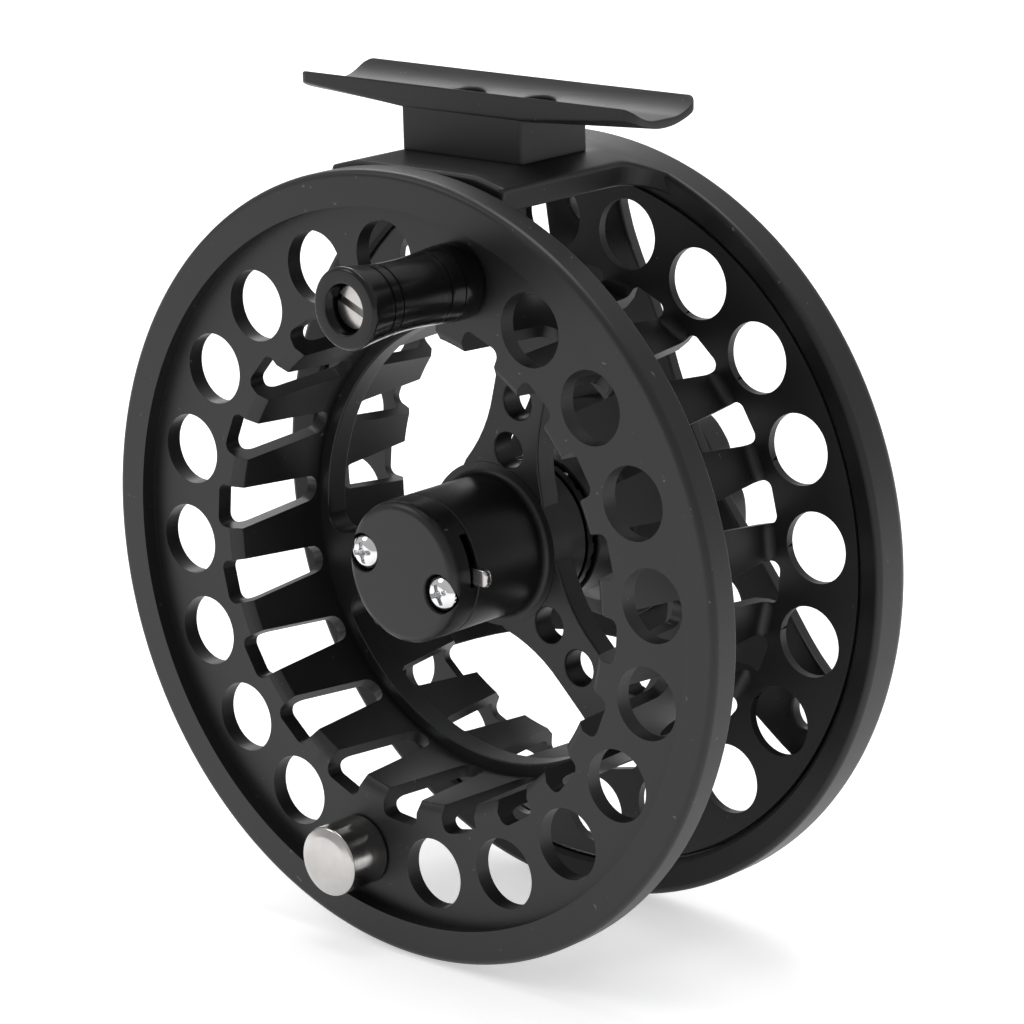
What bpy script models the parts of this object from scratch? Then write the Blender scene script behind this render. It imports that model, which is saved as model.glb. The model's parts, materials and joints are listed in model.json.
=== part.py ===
"""Large-arbour fly reel: half frame, vented spool, disc drag, winding handle and rod foot.

Sizes are in millimetres and go into the meshes as metres. Every round piece is drawn about the
spool axis, where station y = 0 lies just behind the front rim and y grows towards the drag knob.
The model's own origin is the middle of the rod foot's saddle.
"""
import bpy
import bmesh
from math import acos, atan2, cos, degrees, hypot, pi, radians, sin
from mathutils import Matrix, Vector

MM = 0.001
GAP = 0.3

# driving sizes
RIM_R = 55.0
RIM_IN_R = 50.1
FLARE_R = 36.4
ARBOR_R = 35.0
ARBOR_IN_R = 33.2
HUB_R = 9.9
REAR_FLANGE_R = 50.1
SECTORS = 20
HOLE_PITCH_R = 43.0
HOLE_R = 5.0
HANDLE_DEG = 75.57
HANDLE_PITCH_R = 42.7
WEIGHT_PITCH_R = 43.7
SLOT_END_FRONT = 17.3
SLOT_END_REAR = 23.0
SPOKE_HOLE_R = 2.5
SPOKE_HOLE_PITCHES = (14.2, 21.6)
POCKET_R = 9.2
POCKET_FLOOR = 6.9

# stations along the spool axis
RIM_FRONT = -0.6
FACE_FRONT = 1.6
FACE_BACK = 4.1
WEB_FRONT = 18.3
WEB_BACK = 21.8
REAR_FACE = 35.64
REAR_BACK = 37.0
SLEEVE_END = 26.8
PLATE_FRONT = 38.5
PLATE_BACK = 40.5
DISH = 5.0
SEAM = 4.8
CAP_FRONT = -0.1
CAP_FLOOR = 2.6

# spindle and bearings
SPINDLE_R = 3.0
SPINDLE_BORE_R = 3.6
FRONT_BEARING_R = 5.0
FRONT_BEARING = (7.2, 9.7)
REAR_BEARING_R = 6.0
REAR_BEARING = (24.0, 26.5)
BEARING_BORE_R = 3.3

# rod foot
FOOT_Y = 21.1
SADDLE_Z = 61.7
FOOT_L = 60.4
FOOT_W = 13.7
FOOT_TOP = 63.9
FLAT_HALF = 1.6
STEM_L = 21.6
STEM_W = 13.4
FOOT_SCREW_X = 6.35
FOOT_SCREW_Z = 59.8
FOOT_BORE_R = 1.9
FOOT_SEAT_R = 3.7

# frame
RING_IN_R = 50.6
BRIDGE_R = 54.7
CROWN_R = 55.6
SEAT_Z = 54.6
BRIDGE_IN_R = 52.0
BRIDGE_HALF = 16.0
BRIDGE_FRONT = 5.2
CUP_R = 8.0
CUP_OUT_R = 10.4
CUP_FLOOR = 37.0
CUP_BACK = 40.5
CUP_MOUTH = 28.9
BOSS_R = 16.0
BOSS_FRONT = 41.5
RECESS_R = 11.2
DISH_OUT_R = 48.5
DISH_IN_R = 26.0
ARM_ANGLES = (90.0, 210.0, 330.0)
ARM_HOLES = ((4.3, 22.3), (2.6, 44.2))

# drag
LEG_R = 6.6
LEG_PIN_R = 0.8
ROTOR_PIN_R = 0.9
ROTOR_PIN_PITCH_R = 8.3
WASHER_IN_R = 5.6
WASHER_R = 7.6
LEG_ANGLES = (30.0, 150.0, 270.0)
KNOB_R = 19.2
KNOB_FRONT = 46.0
KNOB_BACK = 51.0
CLICKS = 24
CLICK_R = 9.4
CLICK_BALL_Y = 28.75
CLICK_DEG = 60.0
DETENT_R = 13.5
DETENT_DEG = 20.0

# release latch, seen from the front with x right and z up
LATCH_PIVOT = (-6.2, -3.0)
KEYHOLE = (0.6, -1.3)
KEYHOLE_R = 3.75
TAB_FRONT = 3.4
TAB_BACK = 4.6
TAB_END = 12.5
CAP_SCREW_R = 7.2
CAP_POCKET_R = 2.45
CAP_SCREW_DEG = (-14.0, 166.0)

SPIN_STEPS = 40
FRAME_STEPS = 48
MID_STEPS = 24
SMALL_STEPS = 16

for old in list(bpy.data.objects):
    bpy.data.objects.remove(old, do_unlink=True)


def new_collection(name, parent):
    collection = bpy.data.collections.new(name)
    parent.children.link(collection)
    return collection


REEL = new_collection("fly_reel", bpy.context.scene.collection)
CUTTERS = new_collection("cutters", bpy.context.scene.collection)


def material(name, color, metallic, roughness):
    mat = bpy.data.materials.new(name)
    mat.use_nodes = True
    shader = mat.node_tree.nodes["Principled BSDF"]
    shader.inputs["Base Color"].default_value = (*color, 1.0)
    shader.inputs["Metallic"].default_value = metallic
    shader.inputs["Roughness"].default_value = roughness
    return mat


FINISHES = {
    "black": ((0.012, 0.012, 0.014), 0.5, 0.42),
    "gloss_black": ((0.008, 0.008, 0.009), 0.3, 0.15),
    "steel": ((0.55, 0.55, 0.56), 1.0, 0.25),
    "chrome": ((0.8, 0.8, 0.82), 1.0, 0.08),
    "brass": ((0.72, 0.52, 0.22), 1.0, 0.3),
    "cork": ((0.45, 0.28, 0.15), 0.0, 0.8),
    "nylon": ((0.75, 0.74, 0.7), 0.0, 0.5),
}


def empty(name, place, parent=None):
    pivot = bpy.data.objects.new(name, None)
    pivot.location = Vector(place) * MM
    pivot.parent = parent
    REEL.objects.link(pivot)
    return pivot


def on_circle(radius, angle):
    """Point (x, z) at an angle in degrees, counted from +X towards +Z."""
    return radius * cos(radians(angle)), radius * sin(radians(angle))


HANDLE_XZ = on_circle(HANDLE_PITCH_R, HANDLE_DEG)
WEIGHT_XZ = on_circle(WEIGHT_PITCH_R, HANDLE_DEG + 180.0)

AXIS = empty("spool_axis", (0.0, -FOOT_Y, -SADDLE_Z))
HANDLE_AXIS = empty("handle_axis", (HANDLE_XZ[0], 0.0, HANDLE_XZ[1]), AXIS)
LATCH_AXIS = empty("latch_axis", (LATCH_PIVOT[0], 0.0, LATCH_PIVOT[1]), AXIS)
WEIGHT_AXIS = empty("weight_axis", (WEIGHT_XZ[0], 0.0, WEIGHT_XZ[1]), AXIS)


def place(name, mesh, finish, parent, collection=REEL):
    piece = bpy.data.objects.new(name, mesh)
    piece.parent = parent
    collection.objects.link(piece)
    if finish:
        mat = material(name, *FINISHES[finish])
        mesh.materials.append(mat)
    return piece


def smooth(mesh, angle=35.0):
    mesh.shade_smooth()
    mesh.set_sharp_from_angle(angle=radians(angle))


def turned(name, profile, finish, parent=AXIS, steps=SMALL_STEPS, collection=REEL):
    """Profile of (radius, station) points, down the outer side first, spun about the Y axis."""
    bm = bmesh.new()
    ring = [bm.verts.new((r * MM, y * MM, 0.0)) for r, y in profile]
    for a, b in zip(ring, ring[1:] + ring[:1]):
        if a.co.x > 0.0 or b.co.x > 0.0:
            bm.edges.new((a, b))
    mesh = bpy.data.meshes.new(name)
    bm.to_mesh(mesh)
    bm.free()
    piece = place(name, mesh, finish, parent, collection)
    screw = piece.modifiers.new("turn", "SCREW")
    screw.axis = "Y"
    screw.steps = steps
    screw.render_steps = steps
    screw.use_merge_vertices = True
    screw.merge_threshold = 0.00001
    screw.use_smooth_shade = True
    return piece


def along_y(radius_front, radius_back, front, back, x=0.0, z=0.0):
    """Matrix and sizes of a cone whose axis is parallel to the spool axis."""
    turn = Matrix.Rotation(radians(-90.0), 4, "X")
    shift = Matrix.Translation(Vector((x, (front + back) / 2, z)) * MM)
    return {"matrix": shift @ turn, "radius1": radius_front * MM, "radius2": radius_back * MM,
            "depth": (back - front) * MM}


def rods(name, cones, finish=None, parent=AXIS, collection=CUTTERS, segments=SMALL_STEPS):
    """Closed cylinders or cones in one mesh, as cutters or as pins to be joined."""
    bm = bmesh.new()
    for cone in cones:
        bmesh.ops.create_cone(bm, cap_ends=True, segments=segments, **cone)
    mesh = bpy.data.meshes.new(name)
    bm.to_mesh(mesh)
    bm.free()
    smooth(mesh)
    return place(name, mesh, finish, parent, collection)


def prism(name, outline, front, back, finish=None, parent=AXIS, collection=CUTTERS):
    """Flat outline of (x, z) points carried from one station to another."""
    bm = bmesh.new()
    base = [bm.verts.new((x * MM, front * MM, z * MM)) for x, z in outline]
    face = bm.faces.new(base)
    made = bmesh.ops.extrude_face_region(bm, geom=[face])
    top = [item for item in made["geom"] if isinstance(item, bmesh.types.BMVert)]
    bmesh.ops.translate(bm, verts=top, vec=(0.0, (back - front) * MM, 0.0))
    bmesh.ops.recalc_face_normals(bm, faces=bm.faces)
    mesh = bpy.data.meshes.new(name)
    bm.to_mesh(mesh)
    bm.free()
    return place(name, mesh, finish, parent, collection)


def hide_cutter(cutter):
    cutter.hide_render = True
    cutter.display_type = "WIRE"


def combine(piece, operation, cutter):
    hide_cutter(cutter)
    step = piece.modifiers.new(cutter.name, "BOOLEAN")
    step.operation = operation
    step.solver = "EXACT"
    step.object = cutter
    return step


def cut(piece, cutter):
    return combine(piece, "DIFFERENCE", cutter)


def join(piece, other):
    return combine(piece, "UNION", other)


def cut_by_group(piece, group):
    for cutter in group.objects:
        hide_cutter(cutter)
    step = piece.modifiers.new(group.name, "BOOLEAN")
    step.operation = "DIFFERENCE"
    step.solver = "EXACT"
    step.operand_type = "COLLECTION"
    step.collection = group


def arc(center, radius, start, end, count):
    """Points (x, z) along an arc, angles in degrees."""
    angles = [start + (end - start) * i / count for i in range(count + 1)]
    return [(center[0] + radius * cos(radians(a)), center[1] + radius * sin(radians(a))) for a in angles]


def turn_points(points, angle):
    c, s = cos(radians(angle)), sin(radians(angle))
    return [(x * c - z * s, x * s + z * c) for x, z in points]


# ---------------------------------------------------------------- spool

HOLE_ANGLES = [HANDLE_DEG + 360.0 / SECTORS * i for i in range(SECTORS)]
SLOT_ANGLES = [a + 180.0 / SECTORS for a in HOLE_ANGLES]
SPOKE_ANGLES = [HANDLE_DEG + 120.0 * i for i in range(3)]
PIN_ANGLES = [90.0, 210.0, 330.0]


def slot_mesh(name, wide_end, narrow_end):
    """Arbour slot, cut outwards along +X: wide at the flange, narrow and rounded at the middle rib."""
    wide, narrow, low, high = 3.1, 1.9, 31.9, 36.85
    tip = narrow_end + (wide_end - narrow_end) * 0.07
    bm = bmesh.new()
    corners = [(-wide, wide_end), (wide, wide_end), (narrow, tip), (narrow * 0.5, narrow_end),
               (-narrow * 0.5, narrow_end), (-narrow, tip)]
    base = [bm.verts.new((low * MM, y * MM, t * MM)) for t, y in corners]
    face = bm.faces.new(base)
    made = bmesh.ops.extrude_face_region(bm, geom=[face])
    top = [item for item in made["geom"] if isinstance(item, bmesh.types.BMVert)]
    bmesh.ops.translate(bm, verts=top, vec=((high - low) * MM, 0.0, 0.0))
    bmesh.ops.recalc_face_normals(bm, faces=bm.faces)
    mesh = bpy.data.meshes.new(name)
    bm.to_mesh(mesh)
    bm.free()
    return mesh


def spoke_half_width(u):
    """Half the width of a spoke at distance u from the axis: parallel outside, flared to the hub."""
    return 4.6 + 0.026 * max(0.0, 20.0 - u) ** 2


def window_outline():
    """Opening between two spokes, with its bisector on +X."""
    rim_r, hub_r = 31.5, 11.6
    side = []
    for i in range(6):
        u = 30.2 - (30.2 - 8.0) * i / 5
        x, z = turn_points([(u, -spoke_half_width(u))], 60.0)[0]
        if hypot(x, z) > hub_r + 0.4:
            side.append((x, z))
    rim_x, rim_z = side[0]
    rim_angle = degrees(atan2(rim_z, rim_x)) - 5.0
    upper = [on_circle(rim_r, rim_angle)] + side
    lower = [(x, -z) for x, z in reversed(upper)]
    hub_angle = degrees(atan2(side[-1][1], side[-1][0])) * 0.7
    hub_arc = arc((0.0, 0.0), hub_r, hub_angle, -hub_angle, 4)
    rim_arc = arc((0.0, 0.0), rim_r, -rim_angle, rim_angle, 10)[1:-1]
    return upper + hub_arc + lower + rim_arc


def make_spool():
    spool = turned("spool", [
        (REAR_FLANGE_R, REAR_BACK), (REAR_FLANGE_R, REAR_FACE), (FLARE_R, REAR_FACE),
        (ARBOR_R, REAR_FACE - 1.4), (ARBOR_R, FACE_BACK + 1.4), (FLARE_R, FACE_BACK),
        (RIM_R - 0.6, FACE_BACK), (RIM_R, 3.4), (RIM_R, 0.3), (RIM_R - 0.9, RIM_FRONT),
        (RIM_IN_R, RIM_FRONT), (RIM_IN_R, FACE_FRONT), (34.75, FACE_FRONT), (33.35, 2.6),
        (ARBOR_IN_R, WEB_FRONT), (HUB_R + 0.8, WEB_FRONT),
        (HUB_R, WEB_FRONT - 0.8), (HUB_R, SEAM), (POCKET_R, SEAM), (POCKET_R, POCKET_FLOOR),
        (FRONT_BEARING_R + GAP, POCKET_FLOOR), (FRONT_BEARING_R + GAP, FRONT_BEARING[1] + GAP),
        (SPINDLE_BORE_R, FRONT_BEARING[1] + GAP), (SPINDLE_BORE_R, REAR_BEARING[0] - GAP),
        (REAR_BEARING_R + GAP, REAR_BEARING[0] - GAP), (REAR_BEARING_R + GAP, SLEEVE_END), (HUB_R, SLEEVE_END),
        (HUB_R, WEB_BACK + 0.8), (HUB_R + 0.8, WEB_BACK), (ARBOR_IN_R, WEB_BACK),
        (ARBOR_IN_R, REAR_BACK - 1.4), (34.6, REAR_BACK),
    ], "black", steps=SPIN_STEPS)

    posts = rods("cap_screw_posts", [
        along_y(1.6, 1.6, SEAM + 0.1, 7.5, *on_circle(CAP_SCREW_R, a)) for a in CAP_SCREW_DEG
    ], segments=16)
    join(spool, posts)

    slots = new_collection("spool_slots", CUTTERS)
    front_slot = slot_mesh("front_slot", -1.0, SLOT_END_FRONT)
    rear_slot = slot_mesh("rear_slot", REAR_BACK + 1.0, SLOT_END_REAR)
    for i, angle in enumerate(SLOT_ANGLES):
        for mesh, end in ((front_slot, "front"), (rear_slot, "rear")):
            slot = place(f"slot_{end}_{i}", mesh, None, AXIS, slots)
            slot.rotation_euler = (0.0, radians(-angle), 0.0)
    cut_by_group(spool, slots)

    front_angles = [a for i, a in enumerate(HOLE_ANGLES) if i not in (0, SECTORS // 2)]
    at = [on_circle(HOLE_PITCH_R, a) for a in front_angles]
    cut(spool, rods("front_holes", [along_y(HOLE_R, HOLE_R, 1.0, 6.0, *p) for p in at], segments=10))
    at = [on_circle(HOLE_PITCH_R + 0.15, a) for a in HOLE_ANGLES]
    cut(spool, rods("rear_holes", [along_y(HOLE_R, HOLE_R, 34.0, 39.0, *p) for p in at], segments=10))

    windows = new_collection("spool_windows", CUTTERS)
    for i, angle in enumerate(SPOKE_ANGLES):
        outline = turn_points(window_outline(), angle + 60.0)
        prism(f"window_{i}", outline, WEB_FRONT - 1.0, WEB_BACK + 1.0, collection=windows)
    cut_by_group(spool, windows)

    small = [along_y(SPOKE_HOLE_R, SPOKE_HOLE_R, WEB_FRONT - 1.0, WEB_BACK + 1.0, *on_circle(r, a))
             for r in SPOKE_HOLE_PITCHES for a in SPOKE_ANGLES]
    pin_bore = ROTOR_PIN_R + GAP
    small += [along_y(pin_bore, pin_bore, 24.4, 28.0, *on_circle(ROTOR_PIN_PITCH_R, a)) for a in PIN_ANGLES]
    small += [along_y(1.2, 1.2, 2.0, 10.5, *on_circle(CAP_SCREW_R, a)) for a in CAP_SCREW_DEG]
    small += [along_y(1.1, 1.1, 6.0, 9.6, *LATCH_PIVOT)]
    small += [along_y(2.2, 2.2, 0.0, 6.0, *HANDLE_XZ)]
    small += [along_y(1.7, 1.7, 0.0, 2.9, *WEIGHT_XZ)]
    small += [along_y(2.7, 2.7, 2.8, 6.0, *WEIGHT_XZ)]
    cut(spool, rods("spool_small_holes", small[:-2], segments=12))
    cut(spool, rods("weight_screw_hole", small[-2:-1], segments=16))
    cut(spool, rods("weight_screw_seat", small[-1:], segments=16))


# ---------------------------------------------------------------- frame and foot

def frame_window():
    """Opening between two arms of the back plate: a bowed chord and the ring's inner circle."""
    ring_r, chord, bow, reach, steps = 49.0, 19.8, 0.007, 37.6, 12
    bowed = []
    for i in range(steps + 1):
        t = reach - 2 * reach * i / steps
        bowed.append((chord + bow * t * t, t))
    ring_angle = degrees(acos(30.2 / ring_r))
    return bowed + arc((0.0, 0.0), ring_r, -ring_angle, ring_angle, 16)


def make_frame():
    frame = turned("frame", [
        (53.6, PLATE_BACK), (54.7, 39.9), (RIM_R, 38.9), (RIM_R, 34.8), (54.4, 34.1), (50.9, 35.3),
        (RING_IN_R, 35.7), (RING_IN_R, PLATE_FRONT), (DISH_OUT_R, PLATE_FRONT),
        (DISH_IN_R, PLATE_FRONT + DISH), (BOSS_R, PLATE_FRONT + DISH), (BOSS_R, BOSS_FRONT),
        (13.2, BOSS_FRONT - 1.5), (CUP_OUT_R, 36.5), (CUP_OUT_R, CUP_MOUTH), (CUP_R, CUP_MOUTH), (CUP_R, 29.3),
        (8.5, 29.3), (8.5, 30.4), (CUP_R, 30.4), (CUP_R, CUP_FLOOR), (3.3, CUP_FLOOR), (3.3, CUP_BACK),
        (RECESS_R, CUP_BACK), (RECESS_R, PLATE_BACK + DISH), (DISH_IN_R, PLATE_BACK + DISH),
        (DISH_OUT_R, PLATE_BACK),
    ], "black", steps=FRAME_STEPS)

    windows = new_collection("frame_windows", CUTTERS)
    for i in range(3):
        outline = turn_points(frame_window(), 30.0 + 120.0 * i)
        prism(f"frame_window_{i}", outline, PLATE_FRONT - 1.0, PLATE_BACK + DISH + 1.0, collection=windows)
    cut_by_group(frame, windows)

    bridge = turned("bridge_shell", [
        (BRIDGE_R, 37.5), (BRIDGE_R, 34.4), (CROWN_R, 29.5), (CROWN_R, BRIDGE_FRONT + 0.6),
        (CROWN_R - 0.6, BRIDGE_FRONT),
        (BRIDGE_IN_R, BRIDGE_FRONT), (BRIDGE_IN_R, 37.5),
    ], None, steps=FRAME_STEPS, collection=CUTTERS)
    fillet = 6.5
    plan = [(BRIDGE_HALF, 2.0)]
    for a in (0.0, 30.0, 60.0, 90.0):
        plan.append((BRIDGE_HALF + fillet * (1.0 - cos(radians(a))), 28.2 + fillet * sin(radians(a))))
    plan.append((BRIDGE_HALF + fillet, 38.0))
    plan += [(-x, y) for x, y in reversed(plan)]
    combine(bridge, "INTERSECT", plan_block("bridge_plan", plan, 40.0, 60.0))
    flat = [(-30.0, 0.0), (30.0, 0.0), (30.0, 40.0), (-30.0, 40.0)]
    cut(bridge, plan_block("foot_flat", flat, SEAT_Z, 60.0))
    cut(bridge, uprights("foot_screw_holes", FOOT_BORE_R, 45.0, 60.0))
    join(frame, bridge)

    leg_bore = LEG_PIN_R + GAP
    holes = [along_y(leg_bore, leg_bore, 35.0, 42.0, *on_circle(LEG_R, a)) for a in LEG_ANGLES]
    holes += [along_y(1.2, 1.2, 42.2, 47.0, *on_circle(DETENT_R, DETENT_DEG))]
    holes += [along_y(0.7, 0.7, 27.0, 34.0, *on_circle(CLICK_R, CLICK_DEG))]
    for radius, pitch in ARM_HOLES:
        holes += [along_y(radius, radius, 37.0, 47.0, *on_circle(pitch, a)) for a in ARM_ANGLES]
    cut(frame, rods("frame_holes", holes, segments=12))


def plan_block(name, plan, low, high):
    """Plan outline of (x, y) points carried up between two heights."""
    bm = bmesh.new()
    base = [bm.verts.new((x * MM, y * MM, low * MM)) for x, y in plan]
    face = bm.faces.new(base)
    made = bmesh.ops.extrude_face_region(bm, geom=[face])
    top = [item for item in made["geom"] if isinstance(item, bmesh.types.BMVert)]
    bmesh.ops.translate(bm, verts=top, vec=(0.0, 0.0, (high - low) * MM))
    bmesh.ops.recalc_face_normals(bm, faces=bm.faces)
    mesh = bpy.data.meshes.new(name)
    bm.to_mesh(mesh)
    bm.free()
    return place(name, mesh, None, AXIS, CUTTERS)


def uprights(name, radius, low, high):
    """Two vertical cylinders on the foot screws' axes."""
    bm = bmesh.new()
    for x in (-FOOT_SCREW_X, FOOT_SCREW_X):
        shift = Matrix.Translation(Vector((x, FOOT_Y, (low + high) / 2)) * MM)
        bmesh.ops.create_cone(bm, cap_ends=True, segments=16, radius1=radius * MM, radius2=radius * MM,
                              depth=(high - low) * MM, matrix=shift)
    mesh = bpy.data.meshes.new(name)
    bm.to_mesh(mesh)
    bm.free()
    return place(name, mesh, None, AXIS, CUTTERS)


def foot_section(edge, bulge):
    """Cross-section (y, z) of the foot: a trough with a flat middle above, a bowed belly below."""
    half = FOOT_W / 2
    rise = (FOOT_TOP - SADDLE_Z) / (half ** 2 - FLAT_HALF ** 2)
    side = [half - (half - FLAT_HALF) * i / 4 for i in range(5)]
    ys = [-y for y in side] + list(reversed(side))
    top = [(FOOT_Y + y, SADDLE_Z + rise * (y * y - FLAT_HALF ** 2)) for y in ys]
    belly = [(FOOT_Y + y, FOOT_TOP - edge - bulge * (1.0 - (y / half) ** 2)) for y in reversed(ys)]
    return top + belly


def make_foot():
    half, stem = FOOT_L / 2, STEM_L / 2
    tip, root = foot_section(1.6, 1.8), foot_section(3.3, 1.0)
    stations = [(-half, tip), (-stem, root), (stem, root), (half, tip)]
    bm = bmesh.new()
    rings = [[bm.verts.new((x * MM, y * MM, z * MM)) for y, z in section] for x, section in stations]
    for a, b in zip(rings, rings[1:]):
        for i in range(len(a)):
            j = (i + 1) % len(a)
            bm.faces.new((a[i], a[j], b[j], b[i]))
    bm.faces.new(rings[0])
    bm.faces.new(rings[-1])
    bmesh.ops.recalc_face_normals(bm, faces=bm.faces)
    mesh = bpy.data.meshes.new("reel_foot")
    bm.to_mesh(mesh)
    bm.free()
    foot = place("reel_foot", mesh, "black", AXIS)
    x0, x1 = -stem, stem
    y0, y1 = FOOT_Y - STEM_W / 2, FOOT_Y + STEM_W / 2
    join(foot, plan_block("foot_stem", [(x0, y0), (x1, y0), (x1, y1), (x0, y1)], SEAT_Z + GAP, 61.1))
    cut(foot, uprights("foot_screw_bores", FOOT_BORE_R, 50.0, 66.0))
    cut(foot, uprights("foot_screw_seats", FOOT_SEAT_R, FOOT_SCREW_Z - 2.3, 66.0))


def make_foot_screws():
    """Socket-head screws down through the foot and its stem into the bridge."""
    for side, x in (("left", -FOOT_SCREW_X), ("right", FOOT_SCREW_X)):
        name = f"foot_screw_{side}"
        piece = turned(name, [
            (0.0, 7.4), (1.4, 7.4), (1.6, 7.0), (1.6, 2.0), (3.3, 2.0), (3.3, 0.4), (2.9, 0.0),
            (1.5, 0.0), (1.5, 1.2), (0.0, 1.2),
        ], "steel", steps=16)
        piece.rotation_euler = (radians(-90.0), 0.0, 0.0)
        piece.location = Vector((x, FOOT_Y, FOOT_SCREW_Z)) * MM


# ---------------------------------------------------------------- spindle and drag

def ring_profile(inner, outer, front, back):
    return [(outer, back), (outer, front), (inner, front), (inner, back)]


def make_spindle():
    turned("spindle", [
        (SPINDLE_R, 47.6), (SPINDLE_R, 36.7), (5.0, 36.7), (5.0, 36.0), (SPINDLE_R, 36.0),
        (SPINDLE_R, 6.7), (2.0, 6.7),
        (2.0, 4.6), (2.8, 4.6), (2.8, 3.9), (2.2, 3.3), (0.0, 3.3), (0.0, 40.6), (1.8, 40.6), (1.8, 47.6),
    ], "steel")
    turned("spindle_nut", ring_profile(3.9, 5.5, 40.8, 42.6), "steel", steps=6)
    turned("knob_screw", [
        (4.4, 50.2), (4.7, 49.9), (4.7, 48.4), (1.5, 48.4), (1.5, 41.2), (0.0, 41.2), (0.0, 49.2),
        (1.6, 49.2), (1.6, 50.2),
    ], "steel")


def make_rotor():
    rotor = turned("drag_rotor", [
        (5.3, 33.3), (5.3, 28.4), (10.0, 28.4), (10.0, 27.1), (3.4, 27.1), (3.4, 28.2), (4.5, 28.2),
        (4.5, 33.3),
    ], "steel", steps=MID_STEPS)
    pins = [along_y(ROTOR_PIN_R, ROTOR_PIN_R, 24.8, 27.6, *on_circle(ROTOR_PIN_PITCH_R, a)) for a in PIN_ANGLES]
    join(rotor, rods("rotor_pins", pins, segments=12))
    bm = bmesh.new()
    for i in range(CLICKS):
        spin = Matrix.Rotation(radians(-CLICK_DEG - 360.0 / CLICKS * i), 4, "Y")
        shift = Matrix.Translation(Vector((CLICK_R, CLICK_BALL_Y, 0.0)) * MM)
        lay = Matrix.Rotation(radians(90.0), 4, "Y")
        bmesh.ops.create_cone(bm, cap_ends=True, segments=6, radius1=0.8 * MM, radius2=0.8 * MM,
                              depth=1.7 * MM, matrix=spin @ shift @ lay)
    mesh = bpy.data.meshes.new("click_notches")
    bm.to_mesh(mesh)
    bm.free()
    cut(rotor, place("click_notches", mesh, None, AXIS, CUTTERS))


def make_drag_stack():
    turned("one_way_clutch", ring_profile(3.3, 4.2, 28.6, 33.0), "steel")
    snap = turned("cup_snap_ring", ring_profile(6.2, 8.2, 29.6, 30.1), "steel", steps=MID_STEPS)
    cut(snap, prism("snap_ring_gap", [(5.0, -1.2), (9.0, -1.2), (9.0, 1.2), (5.0, 1.2)], 29.0, 31.0))
    turned("friction_washer_front", ring_profile(WASHER_IN_R, WASHER_R, 30.5, 31.2), "cork", steps=MID_STEPS)
    turned("brake_disc", ring_profile(WASHER_IN_R, WASHER_R, 31.5, 32.3), "steel", steps=MID_STEPS)
    turned("friction_washer_rear", ring_profile(WASHER_IN_R, WASHER_R, 32.6, 33.3), "cork", steps=MID_STEPS)
    turned("pressure_plate", ring_profile(WASHER_IN_R, WASHER_R, 33.6, 34.4), "steel", steps=MID_STEPS)
    cones = {"drag_spring_front": (35.3, 35.0, 34.7, 35.0), "drag_spring_rear": (35.7, 35.4, 35.7, 36.0)}
    for name, cone in cones.items():
        radii = (WASHER_R - 0.1, WASHER_R - 0.1, WASHER_IN_R, WASHER_IN_R)
        turned(name, list(zip(radii, cone)), "steel", steps=MID_STEPS)
    ring = turned("thrust_ring", ring_profile(5.8, 10.5, 41.6, 43.8), "brass", steps=MID_STEPS)
    legs = [along_y(LEG_PIN_R, LEG_PIN_R, 36.9, 42.4, *on_circle(LEG_R, a)) for a in LEG_ANGLES]
    join(ring, rods("thrust_legs", legs, segments=12))


def make_knob():
    knob = turned("drag_knob", [
        (KNOB_R - 2.0, KNOB_BACK), (KNOB_R - 0.6, KNOB_BACK - 0.6), (KNOB_R, KNOB_BACK - 1.6),
        (KNOB_R, KNOB_FRONT + 0.8), (KNOB_R - 0.8, KNOB_FRONT), (14.7, KNOB_FRONT),
        (14.7, KNOB_FRONT + 0.8), (12.3, KNOB_FRONT + 0.8), (12.3, KNOB_FRONT), (10.7, KNOB_FRONT),
        (10.7, 44.5), (3.3, 44.5), (3.3, 48.0), (6.2, 48.0), (6.2, KNOB_BACK),
    ], "black", steps=36)
    ring = [on_circle(KNOB_R + 2.9, 20.0 + 36.0 * i) for i in range(10)]
    scallops = [along_y(4.2, 4.2, KNOB_FRONT - 1.0, KNOB_BACK + 1.0, *p) for p in ring]
    cut(knob, rods("knob_scallops", scallops, segments=16))


def ball(name, radius, center):
    bm = bmesh.new()
    bmesh.ops.create_uvsphere(bm, u_segments=10, v_segments=6, radius=radius * MM)
    mesh = bpy.data.meshes.new(name)
    bm.to_mesh(mesh)
    bm.free()
    smooth(mesh, 180.0)
    piece = place(name, mesh, "steel", AXIS)
    piece.location = Vector(center) * MM


def coil(name, radius, wire, front, back, x, z, turns):
    curve = bpy.data.curves.new(name, "CURVE")
    curve.dimensions = "3D"
    curve.bevel_depth = wire * MM
    curve.bevel_resolution = 1
    curve.use_fill_caps = True
    count = turns * 8
    line = curve.splines.new("POLY")
    line.points.add(count)
    for i in range(count + 1):
        a = 2.0 * pi * i / 8
        y = front + wire + (back - front - 2 * wire) * i / count
        line.points[i].co = ((x + radius * cos(a)) * MM, y * MM, (z + radius * sin(a)) * MM, 1.0)
    place(name, curve, "steel", AXIS)


def make_clickers():
    click_x, click_z = on_circle(CLICK_R, CLICK_DEG)
    ball("click_ball", 0.6, (click_x, CLICK_BALL_Y, click_z))
    coil("click_spring", 0.38, 0.12, 29.95, 33.8, click_x, click_z, 3)
    detent_x, detent_z = on_circle(DETENT_R, DETENT_DEG)
    ball("detent_ball", 0.9, (detent_x, 45.3, detent_z))
    coil("detent_spring", 0.6, 0.18, 42.3, 44.3, detent_x, detent_z, 2)


# ---------------------------------------------------------------- hub cap, bearings and latch

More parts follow.
